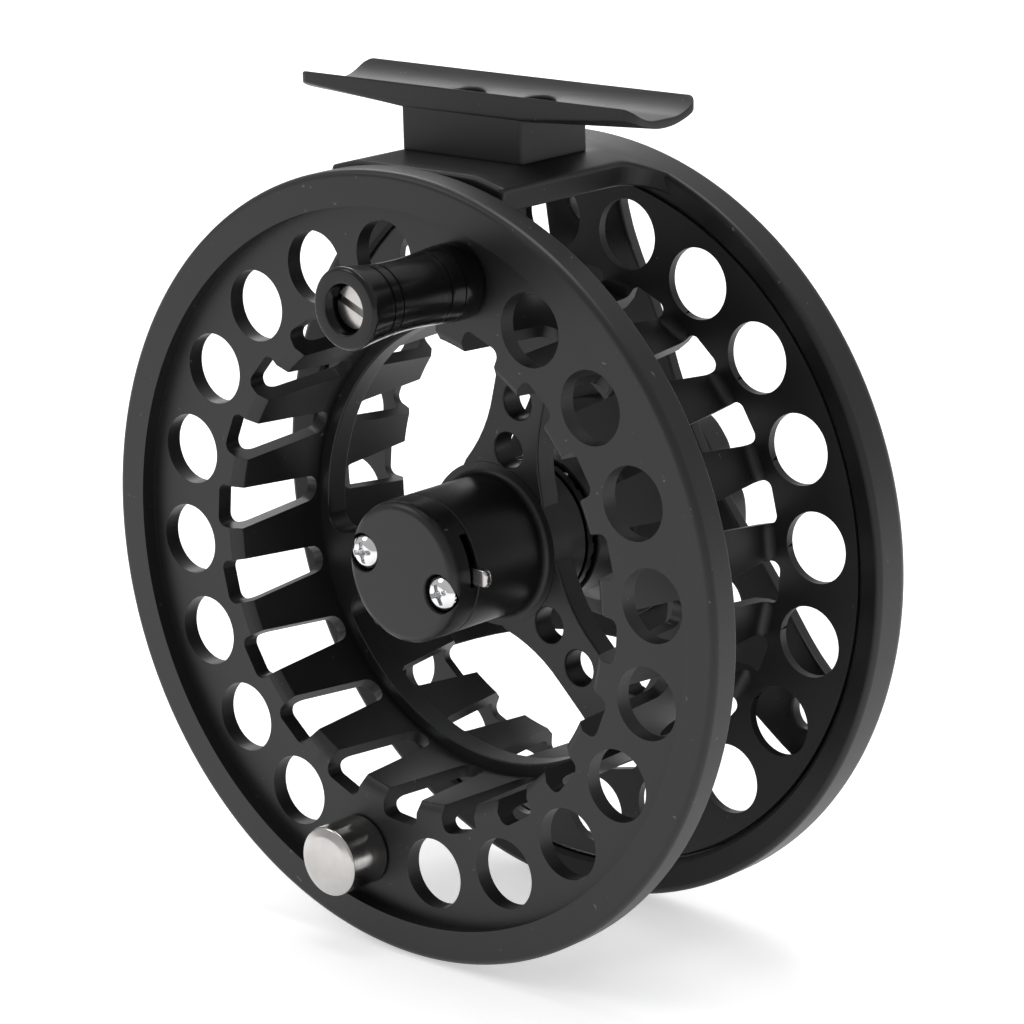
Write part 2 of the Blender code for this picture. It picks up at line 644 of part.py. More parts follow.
def make_hub_front():
    cap = turned("hub_cap", [
        (HUB_R, SEAM - 0.25), (HUB_R, 1.3), (HUB_R - 0.5, 0.35), (HUB_R - 1.4, CAP_FRONT), (0.0, CAP_FRONT),
        (0.0, 2.8), (3.4, 2.8), (3.4, SEAM - 0.25),
    ], "black", steps=32)
    at = [on_circle(CAP_SCREW_R, a) for a in CAP_SCREW_DEG]
    cut(cap, rods("cap_screw_bores", [along_y(1.5, 1.5, 1.0, 6.0, *p) for p in at], segments=10))
    pockets = [along_y(CAP_POCKET_R, CAP_POCKET_R, -1.0, CAP_FLOOR, *p) for p in at]
    cut(cap, rods("cap_screw_pockets", pockets, segments=16))
    tab_slot = [(7.95, -1.2), (11.5, -1.2), (11.5, 6.0), (6.75, 6.0), (6.75, 4.6), (7.25, 2.0)]
    cut(cap, prism("cap_tab_slot", tab_slot, TAB_FRONT - GAP, SEAM + 1.0))
    for side, angle in (("right", CAP_SCREW_DEG[0]), ("left", CAP_SCREW_DEG[1])):
        x, z = on_circle(CAP_SCREW_R, angle)
        name = f"cap_screw_{side}"
        pivot = empty(f"{name}_axis", (x, 0.0, z), AXIS)
        screw = turned(name, [
            (0.0, 10.0), (0.9, 10.0), (0.9, 2.3), (2.1, 2.3), (2.1, 1.0), (1.6, 0.4), (0.8, 0.15),
            (0.0, 0.1),
        ], "chrome", parent=pivot, steps=16)
        for bar in ((1.25, 0.25), (0.25, 1.25)):
            outline = [(-bar[0], -bar[1]), (bar[0], -bar[1]), (bar[0], bar[1]), (-bar[0], bar[1])]
            cut(screw, prism(f"{name}_cross_{bar[0]}", outline, -0.5, 1.1, parent=pivot))
    turned("front_bearing", ring_profile(BEARING_BORE_R, FRONT_BEARING_R, *FRONT_BEARING), "steel")
    turned("rear_bearing", ring_profile(BEARING_BORE_R, REAR_BEARING_R, *REAR_BEARING), "steel")
    turned("latch_pivot", [
        (0.0, 9.3), (0.8, 9.3), (0.8, 4.95), (1.4, 4.95), (1.4, 4.7), (0.0, 4.7),
    ], "steel", parent=LATCH_AXIS, steps=16)


def from_pivot(outline):
    """Outline moved so that it is counted from the latch's pivot."""
    return [(x - LATCH_PIVOT[0], z - LATCH_PIVOT[1]) for x, z in outline]


def make_latch():
    """Arched plate that drops into the spindle's groove, with a thumb tab out through the cap's side."""
    arch_out = KEYHOLE_R + 1.1
    low, high, inner, bend = -0.85, 1.6, 8.3, 8.9
    outline = arc(KEYHOLE, arch_out, 205.0, 28.0, 10)
    outline += [(bend, high), (bend, -0.3), (inner, -0.3), (inner, 0.25), (4.6, 0.25)]
    outline += arc(KEYHOLE, KEYHOLE_R, 33.0, 212.0, 10)
    latch = prism("release_latch", from_pivot(outline), 5.0, 6.2, "chrome", LATCH_AXIS, REEL)
    riser = [(inner + 0.04, -0.26), (bend - 0.04, -0.26), (bend - 0.04, high - 0.04),
             (inner + 0.04, high - 0.04)]
    join(latch, prism("latch_riser", from_pivot(riser), TAB_FRONT + 0.05, 6.15, parent=LATCH_AXIS))
    tab = [(inner + 0.02, low), (TAB_END - 0.4, low), (TAB_END, low + 0.4), (TAB_END, high - 0.4),
           (TAB_END - 0.4, high), (inner + 0.02, high)]
    join(latch, prism("latch_tab", from_pivot(tab), TAB_FRONT, TAB_BACK, parent=LATCH_AXIS))
    eye = rods("latch_eye", [along_y(1.8, 1.8, 5.02, 6.18)], parent=LATCH_AXIS, segments=16)
    join(latch, eye)
    link = [(0.4, -1.2), (3.2, -0.6), (3.2, 1.3), (0.4, 1.2)]
    join(latch, prism("latch_link", link, 5.04, 6.16, parent=LATCH_AXIS))
    cut(latch, rods("latch_eye_bore", [along_y(1.1, 1.1, 4.0, 7.0)], parent=LATCH_AXIS, segments=12))


def make_latch_spring():
    """Bowed wire between the pocket wall and the top of the latch."""
    curve = bpy.data.curves.new("latch_spring", "CURVE")
    curve.dimensions = "3D"
    curve.bevel_depth = 0.25 * MM
    curve.bevel_resolution = 1
    curve.use_fill_caps = True
    route = arc((1.0, -12.0), 18.2, 112.0, 73.0, 8)
    line = curve.splines.new("POLY")
    line.points.add(len(route) - 1)
    for point, (x, z) in zip(line.points, route):
        point.co = (x * MM, 5.6 * MM, z * MM, 1.0)
    place("latch_spring", curve, "steel", AXIS)


# ---------------------------------------------------------------- handle and counterweight

def make_handle():
    turned("handle_knob", [
        (5.2, 1.3), (5.2, 0.2), (5.15, -1.0), (4.95, -3.5), (4.75, -6.0), (4.65, -9.0), (4.75, -12.5),
        (4.98, -15.5), (5.45, -19.3), (5.0, -19.8), (3.3, -19.8), (3.3, -15.6), (2.8, -15.6), (2.8, 1.3),
    ], "gloss_black", parent=HANDLE_AXIS, steps=24)
    turned("handle_post", [
        (1.9, 3.9), (1.9, 1.3), (2.5, 1.3), (2.5, -16.0), (1.5, -16.0), (1.5, -5.5), (0.0, -5.5), (0.0, 3.9),
    ], "steel", parent=HANDLE_AXIS)
    turned("handle_washer", ring_profile(1.5, 3.0, -16.8, -16.3), "nylon", parent=HANDLE_AXIS)
    screw = turned("handle_screw", [
        (0.0, -6.0), (1.2, -6.0), (1.2, -17.1), (3.0, -17.1), (3.0, -17.8), (2.8, -18.0), (0.0, -18.0),
    ], "steel", parent=HANDLE_AXIS)
    slot = turn_points([(-3.4, -0.42), (3.4, -0.42), (3.4, 0.42), (-3.4, 0.42)], -22.0)
    cut(screw, prism("handle_screw_slot", slot, -18.5, -17.3, parent=HANDLE_AXIS))


def make_counterweight():
    turned("counterweight", [
        (4.95, 1.3), (4.95, -5.0), (4.6, -5.5), (3.2, -5.8), (0.0, -5.95), (0.0, -3.6), (1.5, -3.6), (1.5, 1.3),
    ], "steel", parent=WEIGHT_AXIS, steps=24)
    turned("counterweight_screw", [
        (2.1, 3.9), (2.4, 3.6), (2.4, 3.1), (1.2, 3.1), (1.2, -3.2), (0.0, -3.2), (0.0, 3.4), (0.9, 3.4),
        (0.9, 3.9),
    ], "steel", parent=WEIGHT_AXIS, steps=16)


make_frame()
make_foot()
make_foot_screws()
make_spindle()
make_rotor()
make_drag_stack()
make_knob()
make_clickers()
make_spool()
make_hub_front()
make_latch()
make_latch_spring()
make_handle()
make_counterweight()
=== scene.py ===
"""High-resolution look of the large-arbour fly reel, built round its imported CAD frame.

Shapes are drawn in millimetres in the reel's own layout: x and z across the spool axis, and a
station along it that is 0 just behind the front rim and grows towards the drag knob.
"""
import json
from math import acos, atan2, ceil, cos, degrees, hypot, radians, sin, sqrt

import bmesh
import bpy
from mathutils import Matrix, Vector


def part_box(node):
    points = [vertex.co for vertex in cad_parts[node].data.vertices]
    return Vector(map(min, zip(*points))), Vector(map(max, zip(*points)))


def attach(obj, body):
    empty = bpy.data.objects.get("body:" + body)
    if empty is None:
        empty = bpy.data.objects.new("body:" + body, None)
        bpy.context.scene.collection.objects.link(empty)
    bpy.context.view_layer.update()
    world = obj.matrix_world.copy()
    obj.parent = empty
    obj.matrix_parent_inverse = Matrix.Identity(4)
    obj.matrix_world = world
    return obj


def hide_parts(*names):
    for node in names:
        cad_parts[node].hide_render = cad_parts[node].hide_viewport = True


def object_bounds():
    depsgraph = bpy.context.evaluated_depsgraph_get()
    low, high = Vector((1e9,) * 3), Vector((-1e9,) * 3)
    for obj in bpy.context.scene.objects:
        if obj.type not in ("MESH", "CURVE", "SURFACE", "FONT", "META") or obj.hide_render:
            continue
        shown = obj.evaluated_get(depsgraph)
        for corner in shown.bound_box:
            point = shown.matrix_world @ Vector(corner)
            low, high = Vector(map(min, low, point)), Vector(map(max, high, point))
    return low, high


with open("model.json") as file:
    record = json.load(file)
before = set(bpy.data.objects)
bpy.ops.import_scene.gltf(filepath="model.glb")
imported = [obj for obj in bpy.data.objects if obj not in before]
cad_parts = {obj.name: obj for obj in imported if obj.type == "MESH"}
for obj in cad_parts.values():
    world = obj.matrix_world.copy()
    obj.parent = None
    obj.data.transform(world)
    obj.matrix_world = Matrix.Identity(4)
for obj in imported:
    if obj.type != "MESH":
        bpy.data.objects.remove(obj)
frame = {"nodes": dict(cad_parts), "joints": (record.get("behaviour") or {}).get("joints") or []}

CAD_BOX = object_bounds()
MM = 0.001
TINY = 1e-6
JOINTS = {joint["name"]: joint for joint in frame["joints"]}


# ---------------------------------------------------------------- places taken from the frame

def across(joint):
    """The (x, z) of a joint's axis about the spool axis, in millimetres."""
    place = JOINTS[joint]["pos_m"]
    return place[0] / MM, place[2] / MM - AXIS_Z


RIM_FRONT = -0.6
AXIS_Z = JOINTS["spool_spin"]["pos_m"][2] / MM
STATION_0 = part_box("spool")[0].y / MM - RIM_FRONT
ORIGIN = Vector((0.0, STATION_0, AXIS_Z))
FOOT_Y = -STATION_0
SADDLE_Z = -AXIS_Z

HANDLE = across("handle_spin")
HANDLE_DEG = degrees(atan2(HANDLE[1], HANDLE[0]))
LATCH = across("latch_swing")
WEIGHT_R = 43.7
WEIGHT = tuple(-WEIGHT_R / hypot(*HANDLE) * c for c in HANDLE)


# ---------------------------------------------------------------- sizes, in millimetres and degrees

# _R is a radius, _FRONT and _BACK are stations, and _AT is a distance from the spool axis.
# HAIR keeps the faces of two joined shells from lying in one plane.

RING_STEPS = 240
HUB_STEPS = 128
PART_STEPS = 96
ARC_STEP = 15.0
HAIR = 0.02

SECTORS = 20
SECTOR = 360.0 / SECTORS
RIM_R = 55.0
RECESS_R = 50.1
ARBOR_R = 35.0
ARBOR_IN_R = 33.2
FACE_FRONT = 1.6
FACE_BACK = 4.0
REAR_FACE = 35.64
REAR_BACK = 36.9
FRONT_HOLE_R, FRONT_HOLES_AT = 5.0, 43.0
REAR_HOLE_R, REAR_HOLES_AT = 4.97, 43.15
EDGE_ROUND = 0.26
CORNER_FILLET = 1.5

SLOT_END_R = 36.85
SLOT_WIDE, SLOT_NARROW = 3.1, 1.9
SLOT_ROUND = 1.75
RIB_FRONT = 17.5
RIB_BACK = 23.0

WEB_FRONT = 18.3
WEB_BACK = 21.8
SPOKE_HOLE_R, SPOKE_HOLES_AT = 2.5, (14.2, 21.6)

HUB_R = 9.9
SLEEVE_BACK = 26.8
SLEEVE_R = 6.3
SEAM = 4.8
CAP_FRONT = -0.1
CAP_FLOOR = 2.8
CAP_SCREWS_AT, CAP_SCREW_DEG = 7.2, -14.0
TAB_FRONT = 3.4
TAB_BACK = 4.6
TAB_END = 12.5
ARCH_FRONT = 5.0
ARCH_BACK = 6.2

RING_FRONT = 34.0
PLATE_FRONT = 38.5
PLATE_BACK = 40.5
ARM_DEGS = (90.0, 210.0, 330.0)
ARM_HOLES = ((4.3, 22.3, 64), (2.6, 44.2, 48))
DISH = 5.0
DISH_OUT_R = 48.5
DISH_IN_R = 26.0
BOSS_R = 16.0
CUP_OUT_R = 10.4
CROWN_R = 55.65
SEAT_Z = 54.6
KNOB_FRONT = 46.0
KNOB_BACK = 51.0

FOOT_HALF, FOOT_W, FOOT_RISE = 30.2, 13.7, 2.2
FOOT_HOLE_R, FOOT_HOLES_X = 3.7, (-6.35, 6.35)
STEM_HALF, STEM_W = 10.8, 13.4


# ---------------------------------------------------------------- outlines

def on_circle(radius, angle, centre=(0.0, 0.0)):
    return centre[0] + radius * cos(radians(angle)), centre[1] + radius * sin(radians(angle))


def arc(radius, start, end, count, centre=(0.0, 0.0)):
    return [on_circle(radius, start + (end - start) * i / count, centre) for i in range(count + 1)]


def circle(radius, count=64, centre=(0.0, 0.0)):
    return arc(radius, 0.0, 360.0, count, centre)[:-1]


def turned_by(points, angle):
    c, s = cos(radians(angle)), sin(radians(angle))
    return [(p[0] * c - p[1] * s, p[0] * s + p[1] * c, *p[2:]) for p in points]


def rounded(points, closed=True):
    """Outline whose points may carry a third number, the radius that rounds that corner."""
    out = []
    count = len(points)
    for i, point in enumerate(points):
        here = Vector(point[:2])
        radius = point[2] if len(point) > 2 else 0.0
        if radius <= 0.0 or (not closed and i in (0, count - 1)):
            out.append(tuple(here))
            continue
        to_last = (Vector(points[i - 1][:2]) - here).normalized()
        to_next = (Vector(points[(i + 1) % count][:2]) - here).normalized()
        half = acos(max(-1.0, min(1.0, to_last.dot(to_next)))) / 2.0
        reach = radius / max(TINY, sin(half) / cos(half))
        middle = here + (to_last + to_next).normalized() * (radius / sin(half))
        first = here + to_last * reach - middle
        last = here + to_next * reach - middle
        sweep = first.angle_signed(last)
        steps = max(2, ceil(abs(degrees(sweep)) / ARC_STEP))
        for k in range(steps + 1):
            spin = Matrix.Rotation(-sweep * k / steps, 2)
            out.append(tuple(middle + spin @ first))
    return out


def area(points):
    pairs = zip(points, points[1:] + points[:1])
    return sum(a[0] * b[1] - b[0] * a[1] for a, b in pairs) / 2.0


def inset(points, distance):
    """Moves a counter-clockwise outline inwards by a distance, or a clockwise one outwards."""
    out = []
    count = len(points)
    sharpest = 0.4
    for i in range(count):
        before = Vector(points[i]) - Vector(points[i - 1])
        after = Vector(points[(i + 1) % count]) - Vector(points[i])
        n1 = Vector((-before.y, before.x)).normalized()
        n2 = Vector((-after.y, after.x)).normalized()
        mid = (n1 + n2).normalized()
        out.append(tuple(Vector(points[i]) + mid * (distance / max(sharpest, mid.dot(n1)))))
    return out


def eased(t):
    """Goes from 0 to 1 with a smooth start and end, and stays there outside that range."""
    t = max(0.0, min(1.0, t))
    return t * t * (3.0 - 2.0 * t)


# ---------------------------------------------------------------- solids, as bmeshes in millimetres

def lathe(profile, steps=RING_STEPS, centre=(0.0, 0.0), start=0.0, sweep=360.0):
    """Spins a closed profile of (radius, station) points about an axis parallel to the spool's."""
    bm = bmesh.new()
    full = abs(sweep - 360.0) < TINY
    count = steps if full else steps + 1
    rings = []
    for radius, station in profile:
        if radius < TINY:
            rings.append([bm.verts.new((centre[0], station, centre[1]))])
            continue
        ring = []
        for k in range(count):
            x, z = on_circle(radius, start + sweep * k / steps, centre)
            ring.append(bm.verts.new((x, station, z)))
        rings.append(ring)
    for a, b in zip(rings, rings[1:] + rings[:1]):
        if len(a) == 1 and len(b) == 1:
            continue
        for k in range(steps):
            n = (k + 1) % count
            corners = [a[k % len(a)], a[n % len(a)], b[n % len(b)], b[k % len(b)]]
            bm.faces.new(list(dict.fromkeys(corners)))
    if not full:
        bm.faces.new([ring[0] for ring in rings])
        bm.faces.new([ring[-1] for ring in rings])
    bmesh.ops.recalc_face_normals(bm, faces=bm.faces)
    return bm


def bore(radius, low, high, centre=(0.0, 0.0), steps=64):
    """Plain cylinder between two stations."""
    return lathe([(0.0, low), (radius, low), (radius, high), (0.0, high)], steps, centre)


def skin(bm, loops):
    """Joins closed loops of vertices, each to the next, with four-sided faces."""
    for a, b in zip(loops, loops[1:]):
        for j in range(len(a)):
            n = (j + 1) % len(a)
            bm.faces.new((a[j], a[n], b[n], b[j]))


def plate(outlines, low, high, bevel=0.25, bevel_steps=3):
    """Flat plate with rounded edges: outer outline first, then its holes, as (u, v, height)."""
    bm = bmesh.new()
    low_edges, high_edges = [], []
    for i, outline in enumerate(outlines):
        outline = list(outline)
        if (area(outline) > 0.0) != (i == 0):
            outline.reverse()
        layers = []
        for k in range(bevel_steps + 1):
            a = radians(90.0 * k / bevel_steps)
            layers.append((bevel * (1.0 - sin(a)), low + bevel * (1.0 - cos(a))))
        layers += [(shift, low + high - level) for shift, level in reversed(layers)]
        loops = []
        for shift, level in layers:
            loops.append([bm.verts.new((u, v, level)) for u, v in inset(outline, shift)])
        skin(bm, loops)
        for loop, edges in ((loops[0], low_edges), (loops[-1], high_edges)):
            for here, after in zip(loop, loop[1:] + loop[:1]):
                edges.append(bm.edges.get((here, after)))
    for edges in (low_edges, high_edges):
        bmesh.ops.triangle_fill(bm, use_beauty=True, edges=edges)
    bmesh.ops.recalc_face_normals(bm, faces=bm.faces)
    return bm


def sliced(bm, axis, low, high, step):
    """Adds edges across a bmesh at even steps along one axis, so that it can be bent."""
    normal = Vector((axis == 0, axis == 1, axis == 2))
    level = low
    while level < high:
        bmesh.ops.bisect_plane(bm, geom=bm.verts[:] + bm.edges[:] + bm.faces[:], dist=1e-5,
                               plane_co=normal * level, plane_no=normal)
        level += step
    return bm


def warped(bm, rule):
    """Moves every vertex to where a rule puts its (u, v, height)."""
    for vert in bm.verts:
        vert.co = rule(*vert.co)
    bm.normal_update()
    bmesh.ops.recalc_face_normals(bm, faces=bm.faces)
    return bm


def upright(bm, centre=(0.0, 0.0)):
    """Stands a plate up so that its height becomes the station along the spool axis."""
    return warped(bm, lambda u, v, h: Vector((centre[0] + u, h, centre[1] + v)))


def to_mesh(bm, name):
    mesh = bpy.data.meshes.new(name)
    bm.to_mesh(mesh)
    bm.free()
    return mesh


def linked(name, data):
    """New object in the scene for a mesh, lamp or camera."""
    obj = bpy.data.objects.new(name, data)
    bpy.context.scene.collection.objects.link(obj)
    return obj


def carved(bm, cutters):
    """Cuts closed bmeshes out of another with the exact solver."""
    target = linked("target", to_mesh(bm, "target"))
    tools = []
    for cutter in cutters:
        tool = linked("tool", to_mesh(cutter, "tool"))
        tools.append(tool)
        step = target.modifiers.new("cut", "BOOLEAN")
        step.operation = "DIFFERENCE"
        step.solver = "EXACT"
        step.object = tool
    graph = bpy.context.evaluated_depsgraph_get()
    result = bmesh.new()
    result.from_mesh(target.evaluated_get(graph).data)
    for extra in [target, *tools]:
        bpy.data.objects.remove(extra)
    return result


def add(bm, other):
    """Adds another bmesh's faces to this one."""
    mesh = to_mesh(other, "part")
    bm.from_mesh(mesh)
    bpy.data.meshes.remove(mesh)
    return bm


def sharp_edges(bm, angle):
    limit = radians(angle)
    return [e for e in bm.edges if len(e.link_faces) == 2 and e.calc_face_angle(0.0) > limit]


def piece(name, bm, body, slot, look, *nodes, smooth_angle=40.0):
    """Turns a bmesh into a finished object that rides on a body and stands for CAD nodes."""
    to_frame = Matrix.Scale(MM, 4) @ Matrix.Translation(ORIGIN)
    bmesh.ops.transform(bm, matrix=to_frame, verts=bm.verts)
    mesh = to_mesh(bm, name)
    mesh.shade_smooth()
    mesh.set_sharp_from_angle(angle=radians(smooth_angle))
    mesh.materials.append(look)
    obj = linked(name, mesh)
    normals = obj.modifiers.new("even_normals", "WEIGHTED_NORMAL")
    normals.keep_sharp = True
    normals.weight = 80
    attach(obj, body)
    if nodes:
        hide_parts(*nodes)
    return obj


# ---------------------------------------------------------------- materials

def new_look(name, color, metallic, roughness):
    look = bpy.data.materials.new(name)
    look.use_nodes = True
    shader = look.node_tree.nodes["Principled BSDF"]
    shader.inputs["Base Color"].default_value = (*color, 1.0)
    shader.inputs["Metallic"].default_value = metallic
    shader.inputs["Roughness"].default_value = roughness
    return look, look.node_tree, shader


def noise(tree, scale, detail, stretch=(1.0, 1.0, 1.0)):
    """Noise in object space, in features per metre."""
    coordinates = tree.nodes.new("ShaderNodeTexCoord")
    mapping = tree.nodes.new("ShaderNodeMapping")
    mapping.inputs["Scale"].default_value = stretch
    texture = tree.nodes.new("ShaderNodeTexNoise")
    texture.inputs["Scale"].default_value = scale
    texture.inputs["Detail"].default_value = detail
    tree.links.new(coordinates.outputs["Object"], mapping.inputs["Vector"])
    tree.links.new(mapping.outputs["Vector"], texture.inputs["Vector"])
    return texture.outputs["Fac"]


def span(tree, source, low, high, from_low=0.3, from_high=0.7):
    """Maps a texture's middle range to a pair of values."""
    node = tree.nodes.new("ShaderNodeMapRange")
    node.inputs["From Min"].default_value = from_low
    node.inputs["From Max"].default_value = from_high
    node.inputs["To Min"].default_value = low
    node.inputs["To Max"].default_value = high
    tree.links.new(source, node.inputs["Value"])
    return node.outputs["Result"]


def shades(tree, source, dark, light):
    """Maps a texture's middle range to a pair of colours."""
    ramp = tree.nodes.new("ShaderNodeValToRGB")
    for stop, place, color in zip(ramp.color_ramp.elements, (0.35, 0.65), (dark, light)):
        stop.position = place
        stop.color = (*color, 1.0)
    tree.links.new(source, ramp.inputs["Fac"])
    return ramp.outputs["Color"]


def bumps(tree, shader, source, strength, depth):
    bump = tree.nodes.new("ShaderNodeBump")
    bump.inputs["Strength"].default_value = strength
    bump.inputs["Distance"].default_value = depth
    tree.links.new(source, bump.inputs["Height"])
    tree.links.new(bump.outputs["Normal"], shader.inputs["Normal"])


GRAIN_DEPTH = 0.02 * MM
CORK_DEPTH = 0.1 * MM
DUST = (0.16, 0.15, 0.145)
MIX_FACTOR, MIX_A, MIX_B, MIX_RESULT = 0, 6, 7, 2  # the Mix node's sockets in its colour mode


def anodised(name, dark, light, rough, grain, gloss):
    """Bead-blasted, black-anodised aluminium: fine grain, cloudy sheen and a few specks of dust."""
    look, tree, shader = new_look(name, dark, 0.0, rough[0])
    clouds = noise(tree, scale=45.0, detail=5.0)
    dust = noise(tree, scale=900.0, detail=2.0)
    specks = span(tree, dust, 0.0, 0.5, from_low=0.735, from_high=0.78)
    mix = tree.nodes.new("ShaderNodeMix")
    mix.data_type = "RGBA"
    mix.inputs[MIX_B].default_value = (*DUST, 1.0)
    tree.links.new(specks, mix.inputs[MIX_FACTOR])
    tree.links.new(shades(tree, clouds, dark, light), mix.inputs[MIX_A])
    tree.links.new(mix.outputs[MIX_RESULT], shader.inputs["Base Color"])
    tree.links.new(span(tree, clouds, *rough), shader.inputs["Roughness"])
    bumps(tree, shader, noise(tree, scale=5200.0, detail=3.0), grain, GRAIN_DEPTH)
    shader.inputs["Specular IOR Level"].default_value = gloss
    return look


def turned_metal(name, color, metallic, rough, groove):
    """Lathe-turned surface: fine rings across the axis, which runs along Y."""
    look, tree, shader = new_look(name, color, metallic, rough[0])
    rings = noise(tree, scale=40.0, detail=6.0, stretch=(0.6, 90.0, 0.6))
    wear = noise(tree, scale=260.0, detail=4.0)
    worn = tuple(c * 0.86 for c in color)
    tree.links.new(shades(tree, wear, worn, color), shader.inputs["Base Color"])
    tree.links.new(span(tree, rings, *rough), shader.inputs["Roughness"])
    bumps(tree, shader, rings, groove, GRAIN_DEPTH)
    return look


def speckled(name, dark, light, roughness, scale):
    """Matt material with a coarse two-tone grain."""
    look, tree, shader = new_look(name, dark, 0.0, roughness)
    grain = noise(tree, scale, detail=5.0)
    tree.links.new(shades(tree, grain, dark, light), shader.inputs["Base Color"])
    bumps(tree, shader, grain, 0.4, CORK_DEPTH)
    return look


SATIN = anodised("satin_anodised", (0.0055, 0.0055, 0.006), (0.0085, 0.0085, 0.009),
                 rough=(0.40, 0.47), grain=0.22, gloss=0.42)
HUB_SATIN = anodised("hub_anodised", (0.005, 0.005, 0.0055), (0.0075, 0.0075, 0.008),
                     rough=(0.31, 0.38), grain=0.15, gloss=0.4)
FOOT_SATIN = anodised("foot_anodised", (0.006, 0.006, 0.0065), (0.009, 0.009, 0.0095),
                      rough=(0.44, 0.52), grain=0.3, gloss=0.42)
GLOSS = turned_metal("gloss_handle", (0.0045, 0.0045, 0.005), 0.0, rough=(0.17, 0.23), groove=0.12)
GLOSS.node_tree.nodes["Principled BSDF"].inputs["Specular IOR Level"].default_value = 0.3
BLACK_STEEL = turned_metal("blackened_steel", (0.02, 0.02, 0.021), 1.0, rough=(0.35, 0.5),
                           groove=0.2)
STEEL = turned_metal("polished_steel", (0.53, 0.515, 0.5), 1.0, rough=(0.16, 0.27), groove=0.2)
CHROME = turned_metal("bright_chrome", (0.8, 0.8, 0.81), 1.0, rough=(0.06, 0.12), groove=0.05)
BRONZE = turned_metal("turned_bronze", (0.6, 0.4, 0.17), 1.0, rough=(0.25, 0.38), groove=0.3)
CORK = speckled("cork_composite", (0.25, 0.14, 0.06), (0.45, 0.29, 0.15), 0.8, 1800.0)
NYLON = speckled("natural_nylon", (0.62, 0.6, 0.55), (0.75, 0.73, 0.68), 0.5, 900.0)


# ---------------------------------------------------------------- spool

def slot_half_width(station, mouth, rib):
    """Half the width of an arbour slot: wide at the flange, narrow and round at the middle rib."""
    along = abs(station - rib)
    tapering = (along - SLOT_ROUND) / (abs(mouth - rib) - SLOT_ROUND)
    width = SLOT_NARROW + (SLOT_WIDE - SLOT_NARROW) * max(0.0, tapering)
    if along < SLOT_ROUND:
        width = SLOT_NARROW * sqrt(max(0.0, 1.0 - ((SLOT_ROUND - along) / SLOT_ROUND) ** 2))
    return max(HAIR, width)


def slot_cutter(angle, mouth, rib):
    """Closed cutter for one arbour slot, pointing out along its own angle."""
    bm = bmesh.new()
    inner_r, corner, past_mouth = 31.0, 1.2, 3.0
    side = 1.0 if mouth > rib else -1.0
    turns = range(0, 91, 15)
    stations = [rib + side * SLOT_ROUND * (1.0 - cos(radians(turn))) for turn in turns]
    stations += [mouth, mouth + side * past_mouth]
    rings = []
    for station in stations:
        w = slot_half_width(station, mouth, rib)
        r = min(corner, w * 0.9)
        section = rounded([(inner_r, -w), (SLOT_END_R, -w, r), (SLOT_END_R, w, r), (inner_r, w)])
        rings.append([bm.verts.new((u, station, v)) for u, v in section])
    skin(bm, rings)
    bm.faces.new(rings[0])
    bm.faces.new(rings[-1])
    bmesh.ops.recalc_face_normals(bm, faces=bm.faces)
    bmesh.ops.rotate(bm, matrix=Matrix.Rotation(radians(-angle), 3, "Y"), verts=bm.verts)
    return bm


SHELL_PROFILE = rounded([
    (RECESS_R, REAR_BACK), (RECESS_R, REAR_FACE), (ARBOR_R, REAR_FACE), (ARBOR_R, FACE_BACK),
    (RIM_R, FACE_BACK, 0.5), (RIM_R, RIM_FRONT, 1.0), (RECESS_R, RIM_FRONT),
    (RECESS_R, FACE_FRONT), (34.75, FACE_FRONT), (33.3, 2.65), (ARBOR_IN_R, 2.9),
    (ARBOR_IN_R, REAR_BACK - 1.3), (34.5, REAR_BACK),
])


def spool_sector(with_front_hole):
    """One eighteen-degree slice of flanges and arbour, open at its two cut planes."""
    half = SECTOR / 2.0
    solid = lathe(SHELL_PROFILE, RING_STEPS // SECTORS, start=-half, sweep=SECTOR)
    cutters = [slot_cutter(a, FACE_FRONT, RIB_FRONT) for a in (-half, half)]
    cutters += [slot_cutter(a, REAR_BACK, RIB_BACK) for a in (-half, half)]
    cutters.append(bore(REAR_HOLE_R, 33.0, 39.0, (REAR_HOLES_AT, 0.0)))
    if with_front_hole:
        cutters.append(bore(FRONT_HOLE_R, 0.0, 6.0, (FRONT_HOLES_AT, 0.0)))
    solid = carved(solid, cutters)
    slack = 1e-4
    edge = radians(half) - slack
    caps = [f for f in solid.faces if all(abs(atan2(v.co.z, v.co.x)) > edge for v in f.verts)]
    bmesh.ops.delete(solid, geom=caps, context="FACES")
    return solid


